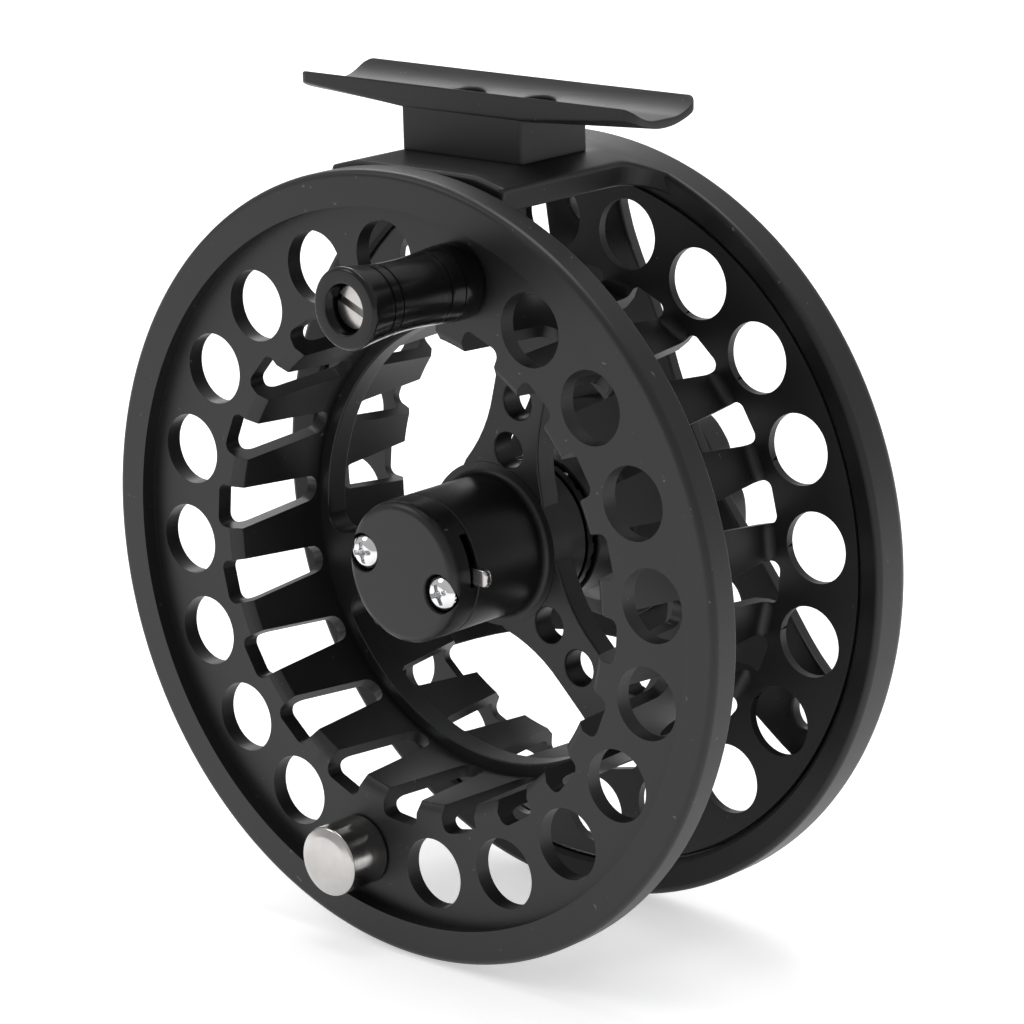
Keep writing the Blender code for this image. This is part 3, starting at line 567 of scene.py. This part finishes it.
def spool_shell():
    """Both flanges and the slotted arbour as one surface."""
    shell = bmesh.new()
    slices = {holed: to_mesh(spool_sector(holed), "slice") for holed in (True, False)}
    for i in range(SECTORS):
        slice_bm = bmesh.new()
        slice_bm.from_mesh(slices[i not in (0, SECTORS // 2)])
        turn = Matrix.Rotation(radians(-(HANDLE_DEG + SECTOR * i)), 3, "Y")
        bmesh.ops.rotate(slice_bm, matrix=turn, verts=slice_bm.verts)
        add(shell, slice_bm)
    weld, flat, corner_angle, edge_angle = 0.004, 0.4, 60.0, 38.0
    bmesh.ops.remove_doubles(shell, verts=shell.verts, dist=weld)
    bmesh.ops.recalc_face_normals(shell, faces=shell.faces)
    bmesh.ops.dissolve_limit(shell, angle_limit=radians(flat), verts=shell.verts,
                             edges=shell.edges)

    def in_corner(vert):
        return abs(hypot(vert.co.x, vert.co.z) - ARBOR_R) < 0.02 and (
            abs(vert.co.y - FACE_BACK) < 0.01 or abs(vert.co.y - REAR_FACE) < 0.01)

    corners = [e for e in sharp_edges(shell, corner_angle) if all(in_corner(v) for v in e.verts)]
    bmesh.ops.bevel(shell, geom=corners, offset=CORNER_FILLET, segments=6, profile=0.5,
                    affect="EDGES")
    bmesh.ops.bevel(shell, geom=sharp_edges(shell, edge_angle), offset=EDGE_ROUND, segments=3,
                    profile=0.5, affect="EDGES", clamp_overlap=True)
    return shell


def spoke_half_width(u):
    """Half the width of a spoke at a distance from the axis: it flares towards the hub."""
    narrow, flare, flare_starts = 4.6, 0.026, 20.0
    return narrow + flare * max(0.0, flare_starts - u) ** 2


def window_outline():
    """Opening between two spokes, with its bisector on +X and rounded outer corners."""
    rim_r, hub_r, corner_r = 31.5, 11.3, 2.6
    outer, length, count = 29.9, 20.0, 12
    past_side, before_corner = 1.2, 6.0
    side = []
    for i in range(count):
        u = outer - length * i / (count - 1)
        x, z = turned_by([(u, -spoke_half_width(u))], 60.0)[0]
        if hypot(x, z) > hub_r + 0.5:
            side.append((x, z))
    rim_angle = degrees(atan2(side[0][1], side[0][0])) + past_side
    rim = arc(rim_r, -rim_angle + before_corner, rim_angle - before_corner, 24)
    upper = [(*on_circle(rim_r, rim_angle), corner_r)] + side[1:]
    hub_angle = 0.72 * degrees(atan2(side[-1][1], side[-1][0]))
    hub = arc(hub_r, hub_angle, -hub_angle, 10)
    lower = [(p[0], -p[1], *p[2:]) for p in reversed(upper)]
    return rounded(rim + upper + hub + lower)


def spool_web():
    """Three-spoked web with two lightening holes in each spoke."""
    holes = []
    for i in range(3):
        spoke = HANDLE_DEG + 120.0 * i
        holes.append(turned_by(window_outline(), spoke + 60.0))
        for distance in SPOKE_HOLES_AT:
            holes.append(circle(SPOKE_HOLE_R, 40, on_circle(distance, spoke)))
    disc = [circle(34.0, 180), circle(6.0, 48), *holes]
    return upright(plate(disc, WEB_FRONT, WEB_BACK, 0.28))


def spool_hub():
    """Hub with its front pocket, bearing seats and rear sleeve, and a collar that holds the web."""
    collar_r, collar_front, collar_back = 11.6, WEB_FRONT - 0.1, WEB_BACK + 0.1
    bore_r, pocket_r, pocket_back = 3.6, 9.2, 6.9
    return lathe(rounded([
        (HUB_R, SEAM, 0.2), (HUB_R, collar_front, 0.9), (collar_r, collar_front),
        (collar_r, collar_back), (HUB_R, collar_back, 0.9), (HUB_R, SLEEVE_BACK, 0.3),
        (SLEEVE_R, SLEEVE_BACK, 0.2), (SLEEVE_R, 23.7), (bore_r, 23.7), (bore_r, 10.0),
        (5.3, 10.0), (5.3, pocket_back), (pocket_r, pocket_back), (pocket_r, SEAM, 0.15),
    ]), HUB_STEPS)


def make_spool():
    body = spool_shell()
    add(body, spool_web())
    add(body, spool_hub())
    piece("spool_body", body, "spool", "black_anodised", SATIN, "spool")


# ---------------------------------------------------------------- hub front

def cap_screw(centre, twist):
    """Pan-head screw with a cross recess."""
    head_r, shank_r, under, crown = 2.45, 0.9, 2.3, -0.4
    screw = lathe(rounded([
        (0.0, 9.9), (shank_r, 9.9), (shank_r, under), (head_r, under, 0.15), (head_r, 0.5, 0.6),
        (1.6, -0.25, 1.6), (0.0, crown),
    ], closed=False), 64, centre)
    length, width, corner = 1.55, 0.33, 0.2
    bar = rounded([(-length, -width, corner), (length, -width, corner), (length, width, corner),
                   (-length, width, corner)])
    cross = []
    for angle in (0.0, 90.0):
        outline = turned_by(bar, twist + angle)
        cross.append(upright(plate([outline], -0.9, 0.8, HAIR, 1), centre))
    point = [(0.0, -0.9), (0.72, -0.9), (0.6, 0.2), (0.25, 1.3), (0.0, 1.3)]
    cross.append(lathe(point, 24, centre))
    return carved(screw, cross)


def make_hub_front():
    """Cap with two screw pockets and a side notch for the latch's tab, and its two screws."""
    cap_back, clear = SEAM - 0.2, -1.0
    pocket_r, pocket_mouth_r, pocket_floor = 2.68, 2.84, 2.6
    cap = lathe(rounded([
        (HUB_R, cap_back, 0.15), (HUB_R, CAP_FRONT, 1.3), (0.0, CAP_FRONT), (0.0, CAP_FLOOR),
        (3.4, CAP_FLOOR), (3.4, cap_back),
    ]), HUB_STEPS)
    right = on_circle(CAP_SCREWS_AT, CAP_SCREW_DEG)
    left = on_circle(CAP_SCREWS_AT, CAP_SCREW_DEG + 180.0)
    cutters = []
    for centre in (right, left):
        cutters.append(lathe([
            (0.0, clear), (pocket_mouth_r, clear), (pocket_mouth_r, CAP_FRONT - 0.01),
            (pocket_r, CAP_FRONT + 0.2), (pocket_r, pocket_floor), (0.0, pocket_floor),
        ], 48, centre))
    notch = [(7.95, -1.15, 0.3), (11.5, -1.15), (11.5, 5.9), (6.75, 5.9, 0.3), (6.75, 4.6),
             (7.25, 2.0)]
    cutters.append(upright(plate([rounded(notch)], TAB_FRONT - 0.3, SEAM + 1.0, 0.05, 1)))
    piece("hub_cap_body", carved(cap, cutters), "spool", "black_anodised", HUB_SATIN, "hub_cap")
    for side, centre, twist in (("right", right, 20.0), ("left", left, 8.0)):
        piece(f"cap_screw_{side}_head", cap_screw(centre, twist), "spool", "chrome", CHROME,
              f"cap_screw_{side}", smooth_angle=30.0)


def make_latch():
    """Keyhole arch on its pivot, bent forward to the thumb tab in the cap's side notch."""
    keyhole, inner, width = (0.6, -1.3), 3.75, 1.1
    low, high, root, bend = -0.85, 1.6, 8.3, 8.9
    step, neck = -0.3, 0.25
    outline = arc(inner + width, 205.0, 28.0, 24, keyhole)
    outline += [(bend, high, 0.3), (bend, step), (root, step), (root, neck), (4.6, neck)]
    outline += arc(inner, 33.0, 212.0, 24, keyhole)
    arch = upright(plate([rounded(outline)], ARCH_FRONT, ARCH_BACK, 0.2))
    riser = [(root, step), (bend, step), (bend, high), (root, high)]
    tab = [(root, low), (TAB_END, low, 0.8), (TAB_END, high, 0.8), (root, high)]
    eye = [circle(1.8, 40), circle(1.1, 32)]
    link = [(0.9, -1.5, 0.4), (3.3, -0.7), (3.3, 1.3), (0.9, 1.35, 0.4)]
    add(arch, upright(plate([rounded(riser)], TAB_FRONT + 0.1, ARCH_BACK - 0.1, 0.1)))
    add(arch, upright(plate([rounded(tab)], TAB_FRONT, TAB_BACK, 0.35, 4)))
    add(arch, upright(plate(eye, ARCH_FRONT + HAIR, ARCH_BACK - HAIR, 0.12), LATCH))
    add(arch, upright(plate([rounded(link)], ARCH_FRONT + 0.04, ARCH_BACK - 0.04, 0.1), LATCH))
    piece("release_latch_plate", arch, "latch", "polished_steel", STEEL, "release_latch")


# ---------------------------------------------------------------- handle and counterweight

HANDLE_KEYS = (
    (0.6, 5.2), (-0.6, 5.2), (-2.0, 5.12), (-4.0, 4.92), (-6.5, 4.73), (-9.5, 4.66), (-12.5, 4.74),
    (-16.0, 5.05), (-19.4, 5.5),
)
HANDLE_LINES = (-2.2, -4.6, -13.6, -15.4)
HANDLE_FOOT = 1.3
HANDLE_TIP = -19.8
HANDLE_SEAT = -15.6
SCREW_HEAD = -18.0


def handle_radius(station):
    """Radius of the handle at a station, on a smooth curve through the keys."""
    keys = HANDLE_KEYS
    last = len(keys) - 1
    i = max(k for k in range(last) if station <= keys[k][0])
    before, after = keys[max(i - 1, 0)], keys[min(i + 2, last)]
    (y0, r0), (y1, r1) = keys[i], keys[i + 1]
    step = y1 - y0
    t = (station - y0) / step
    lean0 = (r1 - before[1]) / (y1 - before[0]) * step
    lean1 = (after[1] - r0) / (after[0] - y0) * step
    return ((2.0 * t ** 3 - 3.0 * t ** 2 + 1.0) * r0 + (t ** 3 - 2.0 * t ** 2 + t) * lean0
            + (3.0 * t ** 2 - 2.0 * t ** 3) * r1 + (t ** 3 - t ** 2) * lean1)


def handle_outline():
    """Outer line of the handle, with four fine turned grooves."""
    depth, half, step = 0.2, 0.12, 0.35
    outline = []
    station, end = 0.55, -19.1
    while station > end:
        if all(abs(station - line) > half + 0.1 for line in HANDLE_LINES):
            outline.append((handle_radius(station), station))
        station -= step
    for line in HANDLE_LINES:
        r = handle_radius(line)
        outline += [(r, line + half), (r - depth, line + 0.5 * half),
                    (r - depth, line - 0.5 * half), (r, line - half)]
    return sorted(outline, key=lambda point: -point[1])


def make_handle():
    """Turned knob on its post, held by a washer and a slotted screw sunk in its end."""
    post_r, recess_r, bore_r, head_r, thread_r = 2.5, 3.3, 2.8, 3.0, 1.5
    outer = [(5.0, HANDLE_FOOT, 0.15), (5.2, 1.0, 0.2)] + handle_outline()
    outer += [(5.47, -19.45, 0.3), (5.1, HANDLE_TIP, 0.3), (recess_r, HANDLE_TIP, 0.25),
              (recess_r, HANDLE_SEAT), (bore_r, HANDLE_SEAT), (bore_r, HANDLE_FOOT)]
    knob = lathe(rounded(outer), PART_STEPS, HANDLE)
    piece("handle_knob_body", knob, "handle", "gloss_handle", GLOSS, "handle_knob",
          smooth_angle=25.0)
    post = lathe(rounded([
        (1.9, 3.9, 0.2), (1.9, HANDLE_FOOT), (post_r, HANDLE_FOOT, 0.2), (post_r, -16.0, 0.2),
        (thread_r, -16.0), (thread_r, -5.5), (0.0, -5.5), (0.0, 3.9),
    ], closed=False), 48, HANDLE)
    piece("handle_post_rod", post, "spool", "polished_steel", STEEL, "handle_post")
    washer = lathe(rounded([
        (head_r, -16.3, 0.1), (head_r, -16.8, 0.1), (thread_r, -16.8), (thread_r, -16.3),
    ]), 48, HANDLE)
    piece("handle_washer_ring", washer, "spool", "nylon", NYLON, "handle_washer")
    screw = lathe(rounded([
        (0.0, -6.0), (1.2, -6.0, 0.2), (1.2, -17.1), (head_r, -17.1, 0.1), (head_r, -17.95, 0.25),
        (0.0, SCREW_HEAD),
    ], closed=False), 64, HANDLE)
    slot = turned_by(rounded([(-3.6, -0.5), (3.6, -0.5), (3.6, 0.5), (-3.6, 0.5)]), -22.5)
    slot_bar = upright(plate([slot], SCREW_HEAD - 1.0, SCREW_HEAD + 0.85, 0.05, 1), HANDLE)
    piece("handle_screw_head", carved(screw, [slot_bar]), "spool", "polished_steel", STEEL,
          "handle_screw", smooth_angle=30.0)


def make_counterweight():
    """Domed steel weight opposite the handle, with the screw that holds it from behind."""
    weight_r, seat, dome, tapped_r, tapped_end = 4.95, 1.3, -5.95, 1.5, -3.6
    weight = lathe(rounded([
        (weight_r, seat, 0.2), (weight_r, -5.25, 0.45), (3.6, -5.7, 2.0), (1.8, -5.9, 3.0),
        (0.0, dome), (0.0, tapped_end), (tapped_r, tapped_end), (tapped_r, seat),
    ], closed=False), PART_STEPS, WEIGHT)
    piece("counterweight_body", weight, "spool", "polished_steel", STEEL, "counterweight")
    head_r, head_front, head_back = 2.4, 3.1, 3.9
    screw = lathe(rounded([
        (0.0, -3.2), (1.2, -3.2, 0.2), (1.2, head_front), (head_r, head_front, 0.1),
        (head_r, 3.65, 0.15), (2.0, head_back, 0.2), (0.9, head_back), (0.9, 3.4), (0.0, 3.4),
    ], closed=False), 40, WEIGHT)
    piece("counterweight_screw_head", screw, "spool", "polished_steel", STEEL,
          "counterweight_screw")


# ---------------------------------------------------------------- frame

def frame_window():
    """Opening between two arms of the back plate: a bowed chord and the ring's inner circle."""
    ring_r, chord, bow, reach, fillet = 49.0, 19.8, 0.007, 38.6, 2.6
    corner_x, before_corner, margin, count = 30.2, 4.0, 1.5, 24
    bowed = []
    for i in range(count + 1):
        t = reach - 2.0 * reach * i / count
        bowed.append((chord + bow * t * t, t))
    meet = degrees(acos(corner_x / ring_r))
    ring = arc(ring_r, -meet + before_corner, meet - before_corner, 40)
    side = [p for p in bowed if hypot(*p) < ring_r - margin]
    corner = on_circle(ring_r, meet)
    return rounded([(corner[0], -corner[1], fillet)] + ring + [(*corner, fillet)] + side)


def back_plate():
    """Flat ring and three arms with their holes, dished back towards the knob."""
    windows = [turned_by(frame_window(), angle - 60.0) for angle in ARM_DEGS]
    holes = []
    for angle in ARM_DEGS:
        for radius, distance, steps in ARM_HOLES:
            holes.append(circle(radius, steps, on_circle(distance, angle)))
    outer_r, inner_r, reach, step = 52.5, 12.5, 50.0, 2.0
    outlines = [circle(outer_r, RING_STEPS), circle(inner_r, 64), *windows, *holes]
    back = plate(outlines, PLATE_FRONT + HAIR, PLATE_BACK - HAIR, 0.35)
    for axis in (0, 1):
        sliced(back, axis, -reach, reach, step)

    def dished(u, v, h):
        inwards = (DISH_OUT_R - hypot(u, v)) / (DISH_OUT_R - DISH_IN_R)
        return Vector((u, h + DISH * eased(inwards), v))

    return warped(back, dished)


def drag_cup():
    """Boss at the middle of the back plate, with the cup for the drag and a groove for its ring."""
    cup_r, groove_r, floor, shaft_r, neck_r = 8.0, 8.5, 37.0, 3.3, 11.2
    cup_front, boss_back, collar_r, collar_back = 28.9, 43.6, 13.0, 45.5
    return lathe(rounded([
        (BOSS_R, boss_back), (BOSS_R, 41.5, 0.4), (13.2, 40.0, 1.0), (CUP_OUT_R, 36.5, 1.5),
        (CUP_OUT_R, cup_front, 0.3), (cup_r, cup_front, 0.2), (cup_r, 29.3), (groove_r, 29.3),
        (groove_r, 30.4), (cup_r, 30.4), (cup_r, floor), (shaft_r, floor),
        (shaft_r, PLATE_BACK, 0.2), (neck_r, PLATE_BACK), (neck_r, collar_back, 0.3),
        (collar_r, collar_back), (collar_r, boss_back),
    ]), HUB_STEPS)


def bridge():
    """Curved bar over the spool that joins the foot to the ring, with blended roots."""
    half, fillet, front, top, low = 16.0, 6.5, 5.2, 54.98, 52.0
    root_start, root_end, crown_low, fade_end, fade = 28.2, 38.0, 53.5, 34.0, 5.0
    root = []
    for turn in range(0, 91, 10):
        a = radians(turn)
        root.append((half + fillet * (1.0 - cos(a)), root_start + fillet * sin(a)))
    right = [(half, front, 0.8)] + root + [(half + fillet + 1.0, root_end)]
    left = [(-p[0], *p[1:]) for p in reversed(right)]
    holes = [circle(1.9, 32, (x, FOOT_Y)) for x in FOOT_HOLES_X]
    bar = plate([rounded(right + left), *holes], low, top, 0.5, 4)
    sliced(bar, 0, -24.0, 24.0, 1.0)
    sliced(bar, 1, 8.0, fade_end, 1.0)

    def bend(u, v, h):
        """Lays the bar round the spool, with its outer face lifted to the crown and the seat."""
        lean = u / top
        point = Vector((h * sin(lean), v, h * cos(lean)))
        outer = max(0.0, h - crown_low) / (top - crown_low)
        crown = min(SEAT_Z, CROWN_R * cos(lean))
        point.z += outer * eased((fade_end - v) / fade) * (crown - top * cos(lean))
        return point

    return warped(bar, bend)


def make_frame():
    """Outer ring, dished back plate, drag cup and foot bridge."""
    inner_r = 50.6
    ring = lathe(rounded([
        (RIM_R, PLATE_BACK, 1.9), (RIM_R, RING_FRONT, 0.8), (54.1, RING_FRONT), (51.2, 34.95, 0.3),
        (inner_r, 35.5, 0.3), (inner_r, PLATE_BACK),
    ]))
    body = add(add(ring, back_plate()), drag_cup())
    add(body, bridge())
    piece("frame_body", body, "frame", "black_anodised", SATIN, "frame")


# ---------------------------------------------------------------- foot

def trough(v):
    """Height of the saddle above its flat bottom at a distance across it."""
    flat, half = 1.6, FOOT_W / 2.0
    reach = max(0.0, abs(v) - flat)
    return FOOT_RISE * (reach / (half - flat)) ** 2


def belly(u, v):
    """Depth of the foot's underside below its top edges: thin at the tips, deep at the stem."""
    tip = max(0.0, (abs(u) - STEM_HALF) / (FOOT_HALF - STEM_HALF))
    stem_edge, edge_lost, stem_bulge, bulge_gained = 3.3, 1.7, 1.0, 0.8
    edge = stem_edge - edge_lost * tip
    bulge = stem_bulge + bulge_gained * tip
    return edge + bulge * (1.0 - (2.0 * v / FOOT_W) ** 2)


def block(half_length, width, corner):
    """Rectangle about the middle, with rounded corners."""
    half = width / 2.0
    return rounded([(-half_length, -half, corner), (half_length, -half, corner),
                    (half_length, half, corner), (-half_length, half, corner)])


def make_foot():
    """Saddle and stem of the foot, with the two screws that hold it to the bridge."""
    holes = [circle(FOOT_HOLE_R, 48, (x, 0.0)) for x in FOOT_HOLES_X]
    saddle = plate([block(FOOT_HALF, FOOT_W, 1.6), *holes], 0.0, 1.0, 0.16, 3)
    sliced(saddle, 1, -6.5, 6.5, 0.5)
    sliced(saddle, 0, -29.0, 29.0, 2.0)

    def curl(u, v, h):
        top = SADDLE_Z + trough(v)
        low = SADDLE_Z + FOOT_RISE - belly(u, v)
        return Vector((u, FOOT_Y + v, low + (top - low) * h))

    stem = plate([block(STEM_HALF, STEM_W, 0.5), *holes], 0.0, 1.0, 0.05, 2)
    sliced(stem, 0, -10.0, 10.0, 1.0)
    stem_low, stem_top = SEAT_Z + 0.03, 61.0

    def stand(u, v, h):
        return Vector((u, FOOT_Y + v, stem_low + (stem_top - stem_low) * h))

    body = add(warped(saddle, curl), warped(stem, stand))
    piece("reel_foot_body", body, "frame", "black_anodised", FOOT_SATIN, "reel_foot")
    head_top, head_r, head_depth, shank_r, shank_end = 59.8, 3.3, 2.0, 1.4, 7.4
    socket_r, socket_depth = 1.5, 1.2
    for side, x in zip(("left", "right"), FOOT_HOLES_X):
        head = lathe(rounded([
            (0.0, shank_end), (shank_r, shank_end, 0.2), (shank_r, head_depth),
            (head_r, head_depth, 0.1), (head_r, 0.0, 0.4), (socket_r, 0.0, 0.15),
            (socket_r, socket_depth), (0.0, socket_depth),
        ], closed=False), 48)
        warped(head, lambda u, v, h, x=x: Vector((x + u, FOOT_Y + h, head_top - v)))
        piece(f"foot_screw_{side}_head", head, "frame", "black_anodised", HUB_SATIN,
              f"foot_screw_{side}")


# ---------------------------------------------------------------- drag

def make_knob():
    """Drag knob with ten shallow finger scallops and a dished centre."""
    lobes, top, valley, first, count = 10, 19.15, 17.9, 20.0, 300
    outline = []
    for i in range(count):
        a = 360.0 * i / count
        dip = 0.5 + 0.5 * cos(radians(lobes * (a - first)))
        outline.append(on_circle(top - (top - valley) * dip ** 2.2, a))
    rim = upright(plate([outline, circle(15.0, 120)], KNOB_FRONT, KNOB_BACK, 0.8, 5))
    front, groove, face, dish_r, shaft_r = 46.05, 46.8, 50.2, 15.4, 3.3
    dish = lathe(rounded([
        (dish_r, front), (14.7, front), (14.7, groove), (12.3, groove), (12.3, front),
        (10.7, front), (10.7, 44.5), (shaft_r, 44.5), (shaft_r, 48.0), (6.2, 48.0),
        (6.2, face, 0.4), (12.6, face), (12.8, face - 0.2), (13.0, face), (dish_r, face),
    ]), 120)
    piece("drag_knob_body", add(rim, dish), "drag_knob", "black_anodised", SATIN, "drag_knob")


def ring_profile(inner, outer, front, back):
    """Profile of a plain ring with eased edges, between two radii and two stations."""
    edge = 0.12
    return rounded([(outer, back, edge), (outer, front, edge), (inner, front, edge),
                    (inner, back, edge)])


SPINDLE_PROFILE = rounded([
    (0.0, 3.3), (2.8, 3.3, 0.5), (2.8, 4.6, 0.1), (2.0, 4.6), (2.0, 6.7), (3.0, 6.7, 0.2),
    (3.0, 36.0), (5.0, 36.0, 0.1), (5.0, 36.7, 0.1), (3.0, 36.7), (3.0, 47.6, 0.2), (1.8, 47.6),
    (1.8, 40.6), (0.0, 40.6),
], closed=False)
KNOB_SCREW_PROFILE = rounded([
    (0.0, 41.2), (1.5, 41.2, 0.2), (1.5, 48.4), (4.7, 48.4, 0.1), (4.7, 50.2, 0.4),
    (1.6, 50.2, 0.1), (1.6, 49.2), (0.0, 49.2),
], closed=False)
TURNED_STEEL = "polished_steel", STEEL
TURNED_PARTS = (
    ("spindle", "frame", *TURNED_STEEL, SPINDLE_PROFILE),
    ("knob_screw", "frame", *TURNED_STEEL, KNOB_SCREW_PROFILE),
    ("cup_snap_ring", "frame", *TURNED_STEEL, ring_profile(6.2, 8.2, 29.6, 30.1)),
    ("friction_washer_front", "frame", "cork", CORK, ring_profile(5.6, 7.6, 30.5, 31.2)),
    ("brake_disc", "spool", *TURNED_STEEL, ring_profile(5.6, 7.6, 31.5, 32.3)),
    ("friction_washer_rear", "frame", "cork", CORK, ring_profile(5.6, 7.6, 32.6, 33.3)),
    ("pressure_plate", "frame", *TURNED_STEEL, ring_profile(5.6, 7.6, 33.6, 34.4)),
    ("one_way_clutch", "spool", *TURNED_STEEL, ring_profile(3.3, 4.2, 28.6, 33.0)),
    ("front_bearing", "spool", *TURNED_STEEL, ring_profile(3.3, 5.0, 7.2, 9.7)),
    ("rear_bearing", "spool", *TURNED_STEEL, ring_profile(3.3, 6.0, 24.0, 26.5)),
)


def make_turned_parts():
    """Spindle, knob screw, drag discs, clutch and bearings."""
    for name, body, slot, look, profile in TURNED_PARTS:
        piece(f"{name}_turned", lathe(profile, PART_STEPS), body, slot, look, name)


def make_drag_rotor():
    """Rotor disc with its clicker notches, sleeve and three drive pins."""
    notches, notch_r, notch_half, notch_at, notch_station = 24, 0.8, 0.85, 9.4, 28.75
    pin_r, pins_at, pin_front, pin_back = 0.9, 8.3, 24.8, 27.6
    disc_r, disc_front, disc_back = 10.0, 27.1, 28.4
    sleeve_r, sleeve_in_r, sleeve_back = 5.3, 4.5, 33.3
    rotor = lathe(rounded([
        (sleeve_r, sleeve_back, 0.1), (sleeve_r, disc_back, 0.2), (disc_r, disc_back, 0.15),
        (disc_r, disc_front, 0.15), (3.4, disc_front), (3.4, 28.2), (sleeve_in_r, 28.2),
        (sleeve_in_r, sleeve_back),
    ]), PART_STEPS)
    cutters = []
    for i in range(notches):
        spin = 60.0 + 360.0 * i / notches

        def lay(u, v, h, spin=spin):
            x, z = on_circle(notch_at + v, spin)
            return Vector((x - u * sin(radians(spin)), notch_station + h,
                           z + u * cos(radians(spin))))

        cutters.append(warped(bore(notch_r, -notch_half, notch_half, steps=16), lay))
    rotor = carved(rotor, cutters)
    pin = rounded([(0.0, pin_front), (pin_r, pin_front, 0.2), (pin_r, pin_back), (0.0, pin_back)],
                  closed=False)
    for angle in ARM_DEGS:
        add(rotor, lathe(pin, 32, on_circle(pins_at, angle)))
    piece("drag_rotor_plate", rotor, "spool", "polished_steel", BLACK_STEEL, "drag_rotor")


LOOKS_LEFT_ON_CAD = {
    "spindle_nut": STEEL, "drag_spring_front": STEEL, "drag_spring_rear": STEEL,
    "thrust_ring": BRONZE, "detent_ball": STEEL, "detent_spring": STEEL, "click_ball": STEEL,
    "click_spring": STEEL, "latch_pivot": STEEL, "latch_spring": STEEL,
}


def dress_cad_nodes():
    """Small hidden parts keep their CAD shape and get the finished materials."""
    for name, look in LOOKS_LEFT_ON_CAD.items():
        node = frame["nodes"][name]
        node.data.materials.clear()
        node.data.materials.append(look)


# ---------------------------------------------------------------- stage, light and camera

def make_floor():
    """White floor just under the reel, a little self-lit so that it meets the white room."""
    gap = 0.4 * MM
    bpy.ops.mesh.primitive_plane_add(size=12.0, location=(0.0, 0.0, CAD_BOX[0].z - gap))
    floor = bpy.context.object
    floor.name = "floor"
    look, _, shader = new_look("floor", (0.85, 0.85, 0.85), 0.0, 0.8)
    shader.inputs["Specular IOR Level"].default_value = 0.2
    shader.inputs["Emission Color"].default_value = (1.0, 1.0, 1.0, 1.0)
    shader.inputs["Emission Strength"].default_value = 0.5
    floor.data.materials.append(look)


def aimed(obj, place, target):
    """Puts a lamp or camera at a place, looking at a target, both in metres."""
    obj.location = place
    obj.rotation_mode = "QUATERNION"
    obj.rotation_quaternion = (Vector(target) - Vector(place)).to_track_quat("-Z", "Y")


def area_light(name, place, size, power):
    lamp = bpy.data.lights.new(name, "AREA")
    lamp.shape = "DISK"
    lamp.size = size
    lamp.energy = power
    aimed(linked(name, lamp), place, (0.0, 0.0, AXIS_Z * MM))


def make_lights():
    """White room for the camera, dimmer as a light, with soft boxes left, above and behind."""
    area_light("key", (-0.9, -0.9, 1.05), size=0.7, power=3.6)
    area_light("top", (0.0, 0.2, 1.3), size=0.9, power=8.0)
    area_light("back", (-0.9, 0.75, 0.7), size=0.6, power=3.6)
    room_light, room_seen = 0.56, 1.0
    world = bpy.data.worlds.new("studio")
    bpy.context.scene.world = world
    world.use_nodes = True
    tree = world.node_tree
    background = tree.nodes["Background"]
    background.inputs["Color"].default_value = (1.0, 1.0, 1.0, 1.0)
    rays = tree.nodes.new("ShaderNodeLightPath")
    level = tree.nodes.new("ShaderNodeMapRange")
    level.inputs["To Min"].default_value = room_light
    level.inputs["To Max"].default_value = room_seen
    tree.links.new(rays.outputs["Is Camera Ray"], level.inputs["Value"])
    tree.links.new(level.outputs["Result"], background.inputs["Strength"])
    bpy.context.scene.view_settings.view_transform = "Standard"


def make_camera():
    """Long lens in front of the reel, to its right and a little above."""
    azimuth, elevation, roll, distance = radians(42.34), radians(15.29), radians(-1.59), 527.2
    target = Vector((20.583, 0.0, 11.912)) + ORIGIN
    back = Vector((sin(azimuth) * cos(elevation), -cos(azimuth) * cos(elevation), sin(elevation)))
    data = bpy.data.cameras.new("camera")
    data.lens = 141.65
    data.sensor_width = 36.0
    camera = linked("camera", data)
    aimed(camera, (target + back * distance) * MM, target * MM)
    camera.rotation_quaternion @= Matrix.Rotation(roll, 3, "Z").to_quaternion()
    bpy.context.scene.camera = camera


make_spool()
make_hub_front()
make_latch()
make_handle()
make_counterweight()
make_frame()
make_foot()
make_knob()
make_turned_parts()
make_drag_rotor()
dress_cad_nodes()
make_floor()
make_lights()
make_camera()
